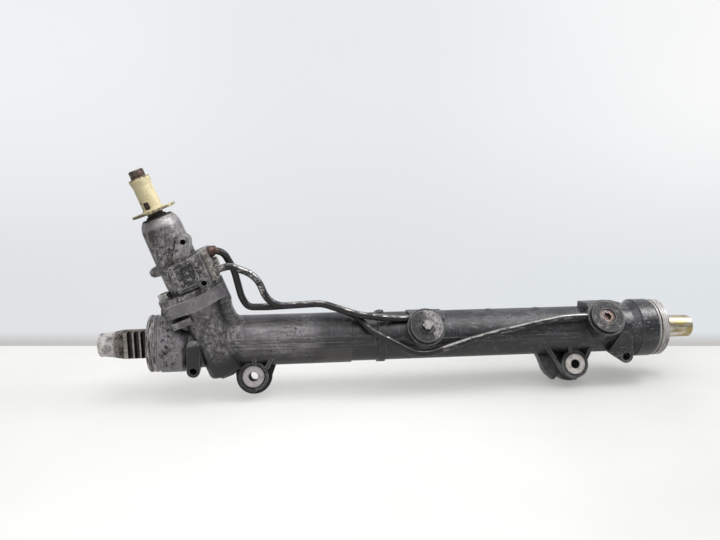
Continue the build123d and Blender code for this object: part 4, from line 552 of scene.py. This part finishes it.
def moulded_cap(cream, stain):
    """Plastic shaft cap gone yellow, with brown grease along its edges and down one side."""
    f = Finish("moulded_cap")
    cloud = f.noise(60.0, 5.0, 0.6)
    run = f.noise(1.0, 6.0, 0.7, f.stretched((280.0, 280.0, 60.0), (0.0, LEAN, 0.0)))
    fleck = f.noise(480.0, 5.0, 0.72)
    ragged = f.noise(210.0, 6.0, 0.7)
    # hollow_shade: painted shade, brownish, in small hollows
    hollow_shade = f.crevice(0.005)
    edge = f.worn_edge(0.0010)
    up, side = f.up_tower(), f.side_tower()
    brim = (CAP_BRIM - up).above(0.0, 0.0012)
    spread = side.squared() + (f.y - TOWER_FOOT.y).squared() - BRIM_RADIUS ** 2
    rim = brim * edge.most(spread.above(0.0, 0.00006))
    lip = (up - CAP_LIP).above(0.0, 0.0016)
    left = (-0.0050 - side).above(0.0, 0.0050) * (0.198 - up).above(0.0, 0.024)
    grime = (ragged + rim * 0.17 + lip * 0.16 + left * 0.19).above(0.60, 0.68)
    colour = f.layers(
        cream,
        (cloud.above(0.35, 0.70) * 0.6, toned(cream, 0.70)),
        (run.above(0.56, 0.68) * 0.7, toned(cream, 0.48)),
        (grime * 0.85, stain),
        (fleck.above(0.60, 0.66) * 0.55, (0.13, 0.085, 0.045)),
        (hollow_shade * 0.8, (0.085, 0.055, 0.028)))
    height = cloud * 0.3 + fleck * 0.4 + ragged * 0.3
    return f.finish(colour, 0.50 + run * 0.15, 0.0, height, 0.0004, 0.4)


def rubber(name, tone, dust):
    """Black moulded rubber, greyed by dust."""
    f = Finish(name)
    bloom = f.noise(90.0, 5.0, 0.6)
    fine = f.noise(1300.0, 3.0)
    # hollow_shade: painted shade in small hollows
    hollow_shade = f.crevice(0.003)
    colour = f.layers(
        (tone, tone, tone),
        (bloom.above(0.40, 0.75) * dust, (0.10, 0.094, 0.090)),
        (hollow_shade * 0.7, (0.010, 0.009, 0.008)))
    return f.finish(colour, 0.78 + (fine - 0.5) * 0.15, 0.0, fine, 0.0002, 0.4)


def sleeve_steel(name, middle, face, dark):
    """Bush sleeve: stained face with a dark greasy bore."""
    f = Finish(name)
    stain = f.noise(150.0, 6.0, 0.68)
    fine = f.noise(900.0, 4.0, 0.7)
    turning = f.noise(1.0, 3.0, 0.5, f.stretched((90.0, 900.0, 900.0)))
    edge = f.worn_edge(0.0007)
    across = f.x - middle[0]
    rise = (f.y - middle[1]) * math.sin(BUSH_TILT) + (f.z - middle[2]) * math.cos(BUSH_TILT)
    spread = across.squared() + rise.squared()
    bore = (SLEEVE_BORE ** 2 - spread).above(0.0, 0.0000030)
    ring = spread.above(SLEEVE_RING[0] ** 2, SLEEVE_RING[1] ** 2)
    colour = f.layers(
        face,
        (stain.above(0.44, 0.66) * 0.65, dark),
        (fine.above(0.60, 0.68) * 0.5, (0.09, 0.065, 0.055)),
        (ring * 0.45, toned(face, 0.45)),
        (edge * 0.5, (0.62, 0.60, 0.59)),
        (bore * 0.96, BORE_GREASE))
    return f.finish(colour, 0.40 + stain * 0.2 + bore * 0.2, 0.55 - bore * 0.4,
                    turning * 0.4 + fine * 0.3 + stain * 0.3, 0.0003, 0.4)


def worn_cap(name, bright, dark, share, middle=None, light=(0.0, 0.0, 0.0), core=0.0):
    """Cast cap: bright where it has been struck and rubbed, dark elsewhere.

    From its middle the bright colour can grow towards the light vector, which paints a lit side,
    and a core can be worn more and rusty.
    """
    f = Finish(name)
    dents = f.noise(200.0, 7.0, 0.74, warp=0.5)
    sweep = f.noise(70.0, 4.0)
    fleck = f.noise(620.0, 4.0, 0.7)
    dirt = f.noise(330.0, 6.0, 0.75)
    edge = f.worn_edge()
    # hollow_shade: painted shade in small hollows
    hollow_shade = f.crevice(0.004)
    amount = dents * 0.62 + sweep * 0.38
    core_rust = ()
    if middle:
        out_x, out_y, out_z = (f.x - middle[0], f.y - middle[1], f.z - middle[2])
        # painted light: brighter towards the side the light vector points to
        amount = amount + out_x * light[0] + out_y * light[1] + out_z * light[2]
    if core:
        spread = out_x.squared() + out_y.squared() + out_z.squared()
        centre = (CORE_RADIUS ** 2 - spread).above(0.0, 0.00008)
        amount = amount + centre * core
        core_rust = ((centre * sweep.above(0.40, 0.56) * 0.65, (0.17, 0.085, 0.062)),)
    rubbed = (amount + (dirt - 0.5) * 0.30).above(0.56 - share * 0.20, 0.66 - share * 0.18)
    colour = f.layers(
        dark,
        (rubbed, bright),
        (dirt.above(0.50, 0.57) * 0.75, toned(bright, 0.28)),
        ((-dirt).above(-0.44, -0.37) * rubbed * 0.8, toned(bright, 2.3)),
        *core_rust,
        (fleck.above(0.58, 0.64) * 0.5, (0.030, 0.026, 0.024)),
        (fleck.above(0.62, 0.66) * rubbed * 0.6, toned(bright, 1.7)),
        (edge * 0.75, toned(bright, 1.5)),
        (hollow_shade * 0.85, (0.009, 0.008, 0.008)))
    return f.finish(colour, 0.38 + (1.0 - rubbed) * 0.16, 0.25 + rubbed * 0.5,
                    dents * 0.7 + fleck * 0.3, 0.0010, 0.75)


def plated(name, zinc, dull):
    """Zinc plating with dull patches and painted shade in its corners."""
    f = Finish(name)
    patch = f.noise(190.0, 6.0, 0.66)
    fine = f.noise(900.0, 4.0, 0.7)
    edge = f.worn_edge(0.0007)
    # hollow_shade: painted shade in small hollows
    hollow_shade = f.crevice(0.003)
    colour = f.layers(
        zinc,
        (patch.above(0.42, 0.62), dull),
        (fine.above(0.60, 0.68) * 0.5, (0.075, 0.055, 0.042)),
        (hollow_shade * 0.85, (0.022, 0.017, 0.014)),
        (edge * 0.5, (0.66, 0.65, 0.63)))
    return f.finish(colour, 0.32 + patch * 0.22, 0.8, fine * 0.5 + patch * 0.5, 0.0003, 0.4)


def inner_part(name, colour, metal, rough):
    """Clean part inside the gear, with a light film of oil."""
    f = Finish(name)
    film = f.noise(140.0, 4.0, 0.6)
    fine = f.noise(1300.0, 3.0)
    tone = f.blend(film.above(0.40, 0.70) * 0.6, colour, toned(colour, 0.6))
    return f.finish(tone, rough + (film - 0.5) * 0.15, metal, fine, 0.0002, 0.3)


# ---- modelling helpers -------------------------------------------------------------------------

SAME_POINT = 0.000005
SMOOTH_UNDER = math.radians(40.0)


def tower_point(across, back, up):
    """Point given along the tower's own axes, in metres."""
    return TOWER_FOOT + TOWER_SIDE * across + Vector((0.0, back, 0.0)) + TOWER_UP * up


def clear_selection():
    """Leaves nothing selected, in object mode."""
    if bpy.context.object and bpy.context.object.mode != "OBJECT":
        bpy.ops.object.mode_set(mode="OBJECT")
    bpy.ops.object.select_all(action="DESELECT")


def aimed(direction):
    """Turn that points a primitive's own +Z along a direction."""
    return Vector(direction).to_track_quat("Z", "Y").to_matrix().to_euler()


def faces_up(face):
    """True for a face at the top end of a primitive's own Z."""
    return face.normal.z > 0.9


def select_faces(piece, wanted):
    """Enters edit mode with those faces selected for which wanted(face) is true."""
    bpy.ops.object.mode_set(mode="EDIT")
    bpy.ops.mesh.select_mode(type="FACE")
    bpy.ops.mesh.select_all(action="DESELECT")
    bpy.ops.object.mode_set(mode="OBJECT")
    for face in piece.data.polygons:
        face.select = wanted(face)
    bpy.ops.object.mode_set(mode="EDIT")


def seat(piece, name, body, material):
    """Finishes a piece: applies its place, names it, and lets it ride on a body."""
    clear_selection()
    bpy.context.view_layer.objects.active = piece
    piece.select_set(True)
    for modifier in list(piece.modifiers):
        bpy.ops.object.modifier_apply(modifier=modifier.name)
    bpy.ops.object.transform_apply(location=True, rotation=True, scale=True)
    bpy.ops.object.mode_set(mode="EDIT")
    bpy.ops.mesh.select_all(action="SELECT")
    bpy.ops.mesh.remove_doubles(threshold=SAME_POINT)
    bpy.ops.mesh.normals_make_consistent(inside=False)
    bpy.ops.object.mode_set(mode="OBJECT")
    bpy.ops.object.shade_smooth_by_angle(angle=SMOOTH_UNDER)
    piece.name = name
    piece.data.name = name
    piece.data.materials.clear()
    piece.data.materials.append(material)
    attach(piece, body)
    piece.select_set(False)


def joined(pieces):
    """Joins like pieces into the first of them."""
    clear_selection()
    for piece in pieces:
        piece.select_set(True)
    bpy.context.view_layer.objects.active = pieces[0]
    bpy.ops.object.join()
    return bpy.context.object


def wear(node, material):
    """Gives a CAD piece its finish."""
    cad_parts[node].data.materials.clear()
    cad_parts[node].data.materials.append(material)


def thread(place, direction, radius, depth, pitch, length):
    """One continuous screw thread in a bore, as a ridge that climbs round the bore's axis."""
    clear_selection()
    bpy.ops.mesh.primitive_circle_add(vertices=3, radius=depth, fill_type="NOTHING")
    ridge = bpy.context.object
    crest = radius - depth
    base = radius + 0.05 * depth
    foot = 0.42 * pitch
    corners = ((base, -foot), (crest, 0.0), (base, foot))
    for vertex, (out, along) in zip(ridge.data.vertices, corners):
        vertex.co = (out, 0.0, along)
    screw = ridge.modifiers.new("climb", "SCREW")
    screw.axis = "Z"
    screw.steps = screw.render_steps = 32
    screw.iterations = int(length / pitch)
    screw.screw_offset = pitch
    screw.use_merge_vertices = False
    bpy.ops.object.modifier_apply(modifier=screw.name)
    bpy.ops.object.mode_set(mode="EDIT")
    bpy.ops.mesh.select_mode(type="EDGE")
    bpy.ops.mesh.select_all(action="DESELECT")
    bpy.ops.mesh.select_non_manifold()
    bpy.ops.mesh.edge_face_add()
    bpy.ops.object.mode_set(mode="OBJECT")
    ridge.location = place
    ridge.rotation_euler = aimed(direction)
    return ridge


def raised_pad(place, direction, radius, height):
    """Round pad with a dished top, as an ejector pin leaves on a casting."""
    clear_selection()
    bpy.ops.mesh.primitive_cylinder_add(vertices=28, radius=radius, depth=2.0 * height,
                                        location=place, rotation=aimed(direction))
    pad = bpy.context.object
    select_faces(pad, faces_up)
    rim, dish = 0.22 * radius, 0.35 * height
    bpy.ops.mesh.inset(thickness=rim)
    bpy.ops.transform.translate(value=Vector(direction) * -dish)
    bpy.ops.object.mode_set(mode="OBJECT")
    rounding = pad.modifiers.new("rounding", "BEVEL")
    rounding.width = 0.25 * height
    rounding.segments = 2
    return pad


def seam(start, end, width, height, direction):
    """Thin raised line of casting flash between two points."""
    clear_selection()
    run = end - start
    bpy.ops.mesh.primitive_cube_add(size=1.0, location=(start + end) / 2.0)
    line = bpy.context.object
    side = run.normalized().cross(direction)
    line.rotation_euler = Matrix((run.normalized(), side, direction)).transposed().to_euler()
    line.scale = (run.length, width, height)
    bpy.ops.object.transform_apply(location=False, rotation=False, scale=True)
    select_faces(line, faces_up)
    bpy.ops.transform.resize(value=(0.98, 0.98, 0.98))
    bpy.ops.object.mode_set(mode="OBJECT")
    rounding = line.modifiers.new("rounding", "BEVEL")
    rounding.width = 0.3 * width
    rounding.segments = 2
    return line


# ---- what a user would change ------------------------------------------------------------------


def tint(name, description, default):
    """Property that holds a colour."""
    return bpy.props.FloatVectorProperty(name=name, description=description, subtype="COLOR",
                                         size=3, min=0.0, max=1.0, default=default)


def measure(name, description, default):
    """Property that holds a length or a place in metres."""
    return bpy.props.FloatProperty(name=name, description=description, subtype="DISTANCE",
                                   unit="LENGTH", default=default, precision=5)


class RackFinishes(bpy.types.PropertyGroup):
    """Colours of the castings, steel, plastic and plating"""
    bare: tint("Bare casting", "Aluminium of the tower end", (0.162, 0.152, 0.158))
    paint: tint("Black paint", "Coating along the cylinder", (0.014, 0.014, 0.016))
    paint_from: measure("Paint from", "Where the paint starts along the tube", 0.186)
    valve: tint("Valve casting", "Aluminium of the valve housing", (0.215, 0.202, 0.205))
    valve_stain: tint("Oil stain", "Runs of old oil on the valve housing", (0.060, 0.045, 0.037))
    bar: tint("Rack bar", "Ground steel of the rack bar", (0.20, 0.175, 0.15))
    grime: tint("Bar grime", "Dried grease on the rack bar", (0.060, 0.046, 0.036))
    rust: tint("Rust", "Rust on the input shaft", (0.060, 0.034, 0.022))
    cream: tint("Cap plastic", "Plastic of the shaft cap", (0.66, 0.575, 0.355))
    cap_stain: tint("Cap stain", "Brown grime on the shaft cap", (0.055, 0.032, 0.017))
    line_coating: tint("Line coating", "Dark coating of the pressure lines", (0.026, 0.025, 0.027))
    line_bright: tint("Line wear", "Bare steel where the lines are rubbed", (0.34, 0.328, 0.322))
    zinc: tint("Zinc", "Plating of the screws", (0.52, 0.51, 0.49))


class RackDetails(bpy.types.PropertyGroup):
    """Sizes of the threads, pads, flash and bush lips"""
    rod_thread_radius: measure("Rod thread radius", "Wall of the tie rod threads", 0.0062)
    rod_thread_pitch: measure("Rod thread pitch", "Climb of one turn", 0.0015)
    rod_thread_length: measure("Rod thread length", "How deep the bar is threaded", 0.0255)
    port_thread_pitch: measure("Port thread pitch", "Climb of one turn in the hose ports", 0.0015)
    port_thread_length: measure("Port thread length", "How deep the ports are threaded", 0.0110)
    thread_height: measure("Thread height", "How far a thread stands out", 0.0007)
    pad_radius: measure("Pad radius", "Ejector pads on the castings", 0.0042)
    pad_height: measure("Pad height", "How far a pad stands out", 0.0006)
    seam_width: measure("Seam width", "Casting flash", 0.0011)
    seam_height: measure("Seam height", "How far the flash stands out", 0.0012)
    lip_radius: measure("Lip radius", "Middle of the rubber lip round a bush sleeve", 0.0130)
    lip_thickness: measure("Lip thickness", "Round section of that lip", 0.0009)


class RackStage(bpy.types.PropertyGroup):
    """Places of the floor, the backdrop and the camera"""
    floor: measure("Floor height", "What the rack lies on", -0.0665)
    wall: measure("Wall distance", "Backdrop behind the rack's middle", 0.161)
    camera_at: bpy.props.FloatVectorProperty(
        name="Camera place", description="Where the camera stands", subtype="TRANSLATION",
        unit="LENGTH", size=3, default=(0.1588, -0.7293, 0.2372))
    camera_azimuth: bpy.props.FloatProperty(
        name="Camera azimuth", description="Turn of the view about Z", subtype="ANGLE",
        default=math.radians(-6.2))
    camera_elevation: bpy.props.FloatProperty(
        name="Camera elevation", description="How far the view looks down", subtype="ANGLE",
        default=math.radians(12.0))
    focal_length: bpy.props.FloatProperty(
        name="Focal length", description="Lens of the camera in millimetres", default=32.0)


# ---- operators ---------------------------------------------------------------------------------


class RACK_OT_castings(bpy.types.Operator):
    """Finish the gear housing and the valve housing"""
    bl_idname = "rack.castings"
    bl_label = "Castings"

    def execute(self, context):
        finishes = context.scene.rack_finishes
        wear("rack_housing", housing_casting(tuple(finishes.bare), tuple(finishes.paint),
                                             finishes.paint_from))
        wear("valve_housing", valve_casting(tuple(finishes.valve), tuple(finishes.valve_stain)))
        return {"FINISHED"}


class RACK_OT_bar_and_shaft(bpy.types.Operator):
    """Finish the rack bar, the input shaft and the shaft's cap"""
    bl_idname = "rack.bar_and_shaft"
    bl_label = "Bar and shaft"

    def execute(self, context):
        finishes = context.scene.rack_finishes
        wear("rack_bar", ground_bar(tuple(finishes.bar), tuple(finishes.grime)))
        shaft = turned_steel("rusty_shaft", (0.14, 0.11, 0.095), tuple(finishes.rust), 0.75)
        for node in ("input_shaft", "torsion_bar_pin"):
            wear(node, shaft)
        wear("spline_cap", moulded_cap(tuple(finishes.cream), tuple(finishes.cap_stain)))
        return {"FINISHED"}


class RACK_OT_lines(bpy.types.Operator):
    """Finish the two pressure lines and their clamp plates"""
    bl_idname = "rack.lines"
    bl_label = "Pressure lines"

    def execute(self, context):
        finishes = context.scene.rack_finishes
        coating, bright = tuple(finishes.line_coating), tuple(finishes.line_bright)
        wear("pressure_line_centre", steel_line(
            "line_centre", coating, bright, 0.60, (0.095, 0.128), (0.36, 0.34, 0.33)))
        wear("pressure_line_right", steel_line(
            "line_right", coating, toned(bright, 0.55), 0.66, (0.330, 0.560),
            (0.165, 0.085, 0.066)))
        wear("line_plates", plated("stained_plate", (0.42, 0.40, 0.37), (0.16, 0.14, 0.12)))
        return {"FINISHED"}


class RACK_OT_caps_and_screws(bpy.types.Operator):
    """Finish the port caps, plugs, nuts and screws"""
    bl_idname = "rack.caps_and_screws"
    bl_label = "Caps and screws"

    def execute(self, context):
        zinc = tuple(context.scene.rack_finishes.zinc)
        centre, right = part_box("centre_port_cap"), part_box("right_port_cap")
        # the centre cap is painted brighter towards its upper right, as painted light
        wear("centre_port_cap", worn_cap(
            "struck_cap", (0.19, 0.179, 0.180), (0.012, 0.010, 0.011), 0.36,
            tuple((a + b) / 2.0 for a, b in zip(*centre)), (7.0, 0.0, 5.0)))
        wear("right_port_cap", worn_cap(
            "dark_cap", (0.20, 0.186, 0.18), (0.012, 0.011, 0.013), 0.16,
            tuple((a + b) / 2.0 for a, b in zip(*right)), (0.0, 0.0, 0.0), 0.12))
        wear("yoke_plug", worn_cap("plug_casting", (0.30, 0.29, 0.28), (0.10, 0.098, 0.095), 0.6))
        wear("pinion_plug", worn_cap("foot_plug", (0.22, 0.215, 0.21), (0.06, 0.058, 0.056), 0.4))
        bolt = plated("zinc_screw", zinc, toned(zinc, 0.45))
        for node in ("flange_bolts", "line_clamp_bolt"):
            wear(node, bolt)
        wear("centre_cap_screw", plated("dirty_screw", (0.25, 0.238, 0.232), (0.085, 0.078, 0.074)))
        wear("yoke_lock_nut", plated("dull_nut", (0.30, 0.29, 0.28), (0.12, 0.115, 0.11)))
        faces = {"left": (0.45, 0.415, 0.425), "right": (0.70, 0.655, 0.625)}
        for side, face in faces.items():
            wear(f"{side}_mount_sleeve", sleeve_steel(f"{side}_sleeve_steel", BUSHES[side], face,
                                                      (0.17, 0.145, 0.140)))
        return {"FINISHED"}


class RACK_OT_rubber(bpy.types.Operator):
    """Finish the rubber bushes, seals and rings"""
    bl_idname = "rack.rubber"
    bl_label = "Rubber"

    def execute(self, context):
        bush = rubber("bush_rubber", 0.016, 0.7)
        seal = rubber("seal_rubber", 0.020, 0.4)
        for node in ("left_mount_rubber", "right_mount_rubber"):
            wear(node, bush)
        for node in ("dust_seal", "shaft_seal", "pinion_oil_seal", "housing_seal_ring",
                     "inner_rack_seal", "end_rack_seal", "bushing_o_ring", "piston_o_ring",
                     "port_cap_seals", "yoke_o_ring"):
            wear(node, seal)
        return {"FINISHED"}


class RACK_OT_inner_parts(bpy.types.Operator):
    """Finish the gear, valve, bearings and springs inside the castings"""
    bl_idname = "rack.inner_parts"
    bl_label = "Inner parts"

    def execute(self, context):
        steel = inner_part("oiled_steel", (0.46, 0.45, 0.44), 0.95, 0.28)
        for node in ("pinion", "piston", "valve_sleeve", "torsion_bar", "sleeve_pin", "pinion_nut"):
            wear(node, steel)
        bearing = inner_part("bearing_steel", (0.62, 0.62, 0.61), 1.0, 0.16)
        for node in ("bearing_inner_ring", "bearing_outer_ring", "bearing_balls",
                     "pinion_bearing_cup", "pinion_bearing_needles", "shaft_bearing_cup",
                     "shaft_bearing_needles"):
            wear(node, bearing)
        spring = inner_part("spring_steel", (0.13, 0.125, 0.12), 0.8, 0.36)
        for node in ("piston_clips", "seal_retaining_ring", "end_retaining_ring", "yoke_spring"):
            wear(node, spring)
        slick = inner_part("slick_plastic", (0.23, 0.17, 0.10), 0.0, 0.38)
        for node in ("piston_ring", "sleeve_seal_rings", "yoke_pad", "seal_backing_ring"):
            wear(node, slick)
        bush = inner_part("bush_aluminium", (0.50, 0.49, 0.48), 0.9, 0.34)
        for node in ("rack_yoke", "rack_bushing"):
            wear(node, bush)
        return {"FINISHED"}


class RACK_OT_threads(bpy.types.Operator):
    """Cut the tie rod threads in the bar and the hose port threads in the valve housing"""
    bl_idname = "rack.threads"
    bl_label = "Threads"

    def execute(self, context):
        details = context.scene.rack_details
        steel = inner_part("thread_steel", (0.34, 0.32, 0.29), 0.9, 0.35)
        radius, height = details.rod_thread_radius, details.thread_height
        low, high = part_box("rack_bar")
        for side, start in (("left", low[0] + LEFT_RECESS), ("right", high[0] - RIGHT_REACH)):
            ridge = thread((start, 0.0, 0.0), (1.0, 0.0, 0.0), radius, height,
                           details.rod_thread_pitch, details.rod_thread_length)
            seat(ridge, f"{side}_rod_thread", "rack", steel)
        metal = inner_part("thread_aluminium", (0.36, 0.35, 0.34), 0.8, 0.4)
        for name, up, bore in PORTS:
            ridge = thread(tower_point(0.0, PORT_FLOOR, up), (0.0, 1.0, 0.0), bore, height,
                           details.port_thread_pitch, details.port_thread_length)
            seat(ridge, f"{name}_port_thread", "housing", metal)
        return {"FINISHED"}


class RACK_OT_casting_marks(bpy.types.Operator):
    """Add the ejector pads and flash lines of the castings"""
    bl_idname = "rack.casting_marks"
    bl_label = "Casting marks"

    def execute(self, context):
        details = context.scene.rack_details
        housing = bpy.data.materials["housing_casting"]
        valve = bpy.data.materials["valve_casting"]
        radius, height = details.pad_radius, details.pad_height
        pads = [raised_pad(place, (0.0, 0.0, 1.0), radius, height) for place in TOP_PADS]
        pads += [raised_pad(place, (0.0, 1.0, 0.0), radius, height) for place in BACK_PADS]
        seat(joined(pads), "housing_pads", "housing", housing)
        start, end = (tower_point(0.0, VALVE_BACK, up) for up in FLASH_HEIGHTS)
        line = seam(start, end, details.seam_width, details.seam_height, Vector((0.0, 1.0, 0.0)))
        seat(line, "valve_flash", "housing", valve)
        return {"FINISHED"}


class RACK_OT_bush_lips(bpy.types.Operator):
    """Mould the rubber lip round each bush sleeve"""
    bl_idname = "rack.bush_lips"
    bl_label = "Bush lips"

    def execute(self, context):
        details = context.scene.rack_details
        material = bpy.data.materials["bush_rubber"]
        for side, place in BUSHES.items():
            lips = []
            for depth in BUSH_LIP_DEPTHS:
                middle = Vector(place) - BUSH_OUT * depth
                clear_selection()
                bpy.ops.mesh.primitive_torus_add(
                    location=middle, rotation=aimed(BUSH_OUT), major_segments=56, minor_segments=12,
                    major_radius=details.lip_radius, minor_radius=details.lip_thickness)
                lips.append(bpy.context.object)
            seat(joined(lips), f"{side}_bush_lip", "housing", material)
        return {"FINISHED"}


class RACK_OT_stage(bpy.types.Operator):
    """Lay the floor and backdrop, and set the lamps and the camera"""
    bl_idname = "rack.stage"
    bl_label = "Stage"

    def execute(self, context):
        stage = context.scene.rack_stage
        clear_selection()
        bpy.ops.mesh.primitive_plane_add(size=SHEET_SIZE, location=(FLOOR_MIDDLE, 0.0, stage.floor))
        floor = context.object
        floor.name = "floor"
        floor.data.materials.append(self.floor_paper())
        clear_selection()
        bpy.ops.mesh.primitive_plane_add(
            size=SHEET_SIZE, location=(WALL_MIDDLE, stage.wall, stage.floor + SHEET_SIZE / 2.0),
            rotation=(math.radians(90.0), 0.0, stage.camera_azimuth))
        wall = context.object
        wall.name = "backdrop"
        wall.data.materials.append(self.wall_paper())
        self.light(context)
        self.camera(context, stage)
        context.scene.view_settings.view_transform = "Standard"
        return {"FINISHED"}

    def floor_paper(self):
        """Pale floor that keeps the shadow, and glows for the camera more towards the left."""
        f = Finish("floor_paper")
        cloud = f.noise(3.0, 4.0)
        tone = f.blend(cloud.above(0.35, 0.7), (0.34, 0.338, 0.333), (0.38, 0.378, 0.372))
        lit = f.node("ShaderNodeBsdfDiffuse", {}, {"Color": tone})
        glow = f.blend((0.04 - f.x).above(-0.26, 0.26), (0.265, 0.263, 0.254), (0.50, 0.497, 0.487))
        glow = f.blend(f.seen(), (0.0, 0.0, 0.0), glow)
        pale = f.node("ShaderNodeEmission", {}, {"Color": glow, "Strength": 1.0})
        both = f.node("ShaderNodeAddShader", {}, {0: lit, 1: pale})
        f.node("ShaderNodeOutputMaterial", {}, {"Surface": both}, None)
        return f.material

    def wall_paper(self):
        """Backdrop that glows for the camera, palest at the upper right, and clear from behind."""
        f = Finish("wall_paper")
        drift = f.noise(2.2, 3.0)
        low = f.blend(f.x.above(-0.45, 0.45), (0.745, 0.755, 0.775), (0.745, 0.780, 0.800))
        high = f.layers(
            (0.885, 0.895, 0.920),
            (f.x.above(-0.38, -0.05), (0.815, 0.838, 0.858)),
            (f.x.above(0.05, 0.50), (0.950, 0.952, 0.955)))
        tone = f.layers(
            low,
            (f.y.above(-2.93, -2.62), high),
            (drift.above(0.4, 0.7) * 0.25, (0.80, 0.82, 0.835)))
        # painted shadow along the foot of the backdrop, where it meets the floor
        tone = f.blend(f.y.above(-2.999, -2.975), (0.55, 0.545, 0.53), tone)
        glow = f.node("ShaderNodeEmission", {}, {"Color": tone, "Strength": 1.0})
        dull = f.node("ShaderNodeBsdfDiffuse", {}, {"Color": (0.8, 0.8, 0.8)})
        front = f.node("ShaderNodeMixShader", {}, {0: f.seen(), 1: dull, 2: glow})
        behind = f.node("ShaderNodeNewGeometry", output="Backfacing")
        clear = f.node("ShaderNodeBsdfTransparent")
        sheet = f.node("ShaderNodeMixShader", {}, {0: behind, 1: front, 2: clear})
        f.node("ShaderNodeOutputMaterial", {}, {"Surface": sheet}, None)
        return f.material

    def light(self, context):
        """Sets a soft cool world and three area lamps."""
        world = bpy.data.worlds.new("studio")
        world.use_nodes = True
        sky = world.node_tree.nodes["Background"].inputs
        sky["Color"].default_value = (0.93, 0.97, 1.0, 1.0)
        sky["Strength"].default_value = 0.40
        context.scene.world = world
        for name, place, aim, size, watts in (
                ("top_lamp", (0.45, -0.28, 1.20), (0.30, 0.0, 0.0), 1.5, 20.0),
                ("right_lamp", (1.16, -0.20, 1.00), (0.58, 0.0, 0.0), 0.42, 8.0),
                ("front_lamp", (-0.45, -1.40, 0.70), (0.25, 0.0, 0.0), 0.7, 3.0)):
            lamp = bpy.data.lights.new(name, "AREA")
            lamp.energy = watts
            lamp.size = size
            holder = bpy.data.objects.new(name, lamp)
            holder.location = place
            sight = Vector(aim) - Vector(place)
            holder.rotation_euler = sight.to_track_quat("-Z", "Y").to_euler()
            context.collection.objects.link(holder)

    def camera(self, context, stage):
        """Stands the camera at its place and turns it to its azimuth and elevation."""
        turn, rise = stage.camera_azimuth, stage.camera_elevation
        back = Vector((math.sin(turn) * math.cos(rise), -math.cos(turn) * math.cos(rise),
                       math.sin(rise)))
        lens = bpy.data.cameras.new("camera")
        lens.lens = stage.focal_length
        lens.sensor_width = SENSOR_WIDTH
        camera = bpy.data.objects.new("camera", lens)
        camera.location = stage.camera_at
        camera.rotation_euler = (-back).to_track_quat("-Z", "Y").to_euler()
        context.collection.objects.link(camera)
        context.scene.camera = camera


OPERATORS = (RACK_OT_castings, RACK_OT_bar_and_shaft, RACK_OT_lines, RACK_OT_caps_and_screws,
             RACK_OT_rubber, RACK_OT_inner_parts, RACK_OT_threads, RACK_OT_casting_marks,
             RACK_OT_bush_lips, RACK_OT_stage)


class RACK_PT_dressing(bpy.types.Panel):
    """Lists the steps of the rack's dressing"""
    bl_idname = "RACK_PT_dressing"
    bl_label = "Steering rack"
    bl_space_type = "VIEW_3D"
    bl_region_type = "UI"
    bl_category = "Rack"

    def draw(self, context):
        layout = self.layout
        for operator in OPERATORS:
            layout.operator(operator.bl_idname)
        for group in (context.scene.rack_finishes, context.scene.rack_details,
                      context.scene.rack_stage):
            box = layout.box()
            for name in group.bl_rna.properties.keys():
                if name not in ("rna_type", "name"):
                    box.prop(group, name)


GROUPS = {"rack_finishes": RackFinishes, "rack_details": RackDetails, "rack_stage": RackStage}


def register():
    for made in (*GROUPS.values(), *OPERATORS, RACK_PT_dressing):
        bpy.utils.register_class(made)
    for name, group in GROUPS.items():
        setattr(bpy.types.Scene, name, bpy.props.PointerProperty(type=group))


def unregister():
    for name in GROUPS:
        delattr(bpy.types.Scene, name)
    for made in (RACK_PT_dressing, *reversed(OPERATORS), *reversed(GROUPS.values())):
        bpy.utils.unregister_class(made)


def main():
    """Dresses the rack from start to end."""
    register()
    bpy.ops.rack.castings()
    bpy.ops.rack.bar_and_shaft()
    bpy.ops.rack.lines()
    bpy.ops.rack.caps_and_screws()
    bpy.ops.rack.rubber()
    bpy.ops.rack.inner_parts()
    bpy.ops.rack.threads()
    bpy.ops.rack.casting_marks()
    bpy.ops.rack.bush_lips()
    bpy.ops.rack.stage()
    clear_selection()


if __name__ == "__main__":
    main()
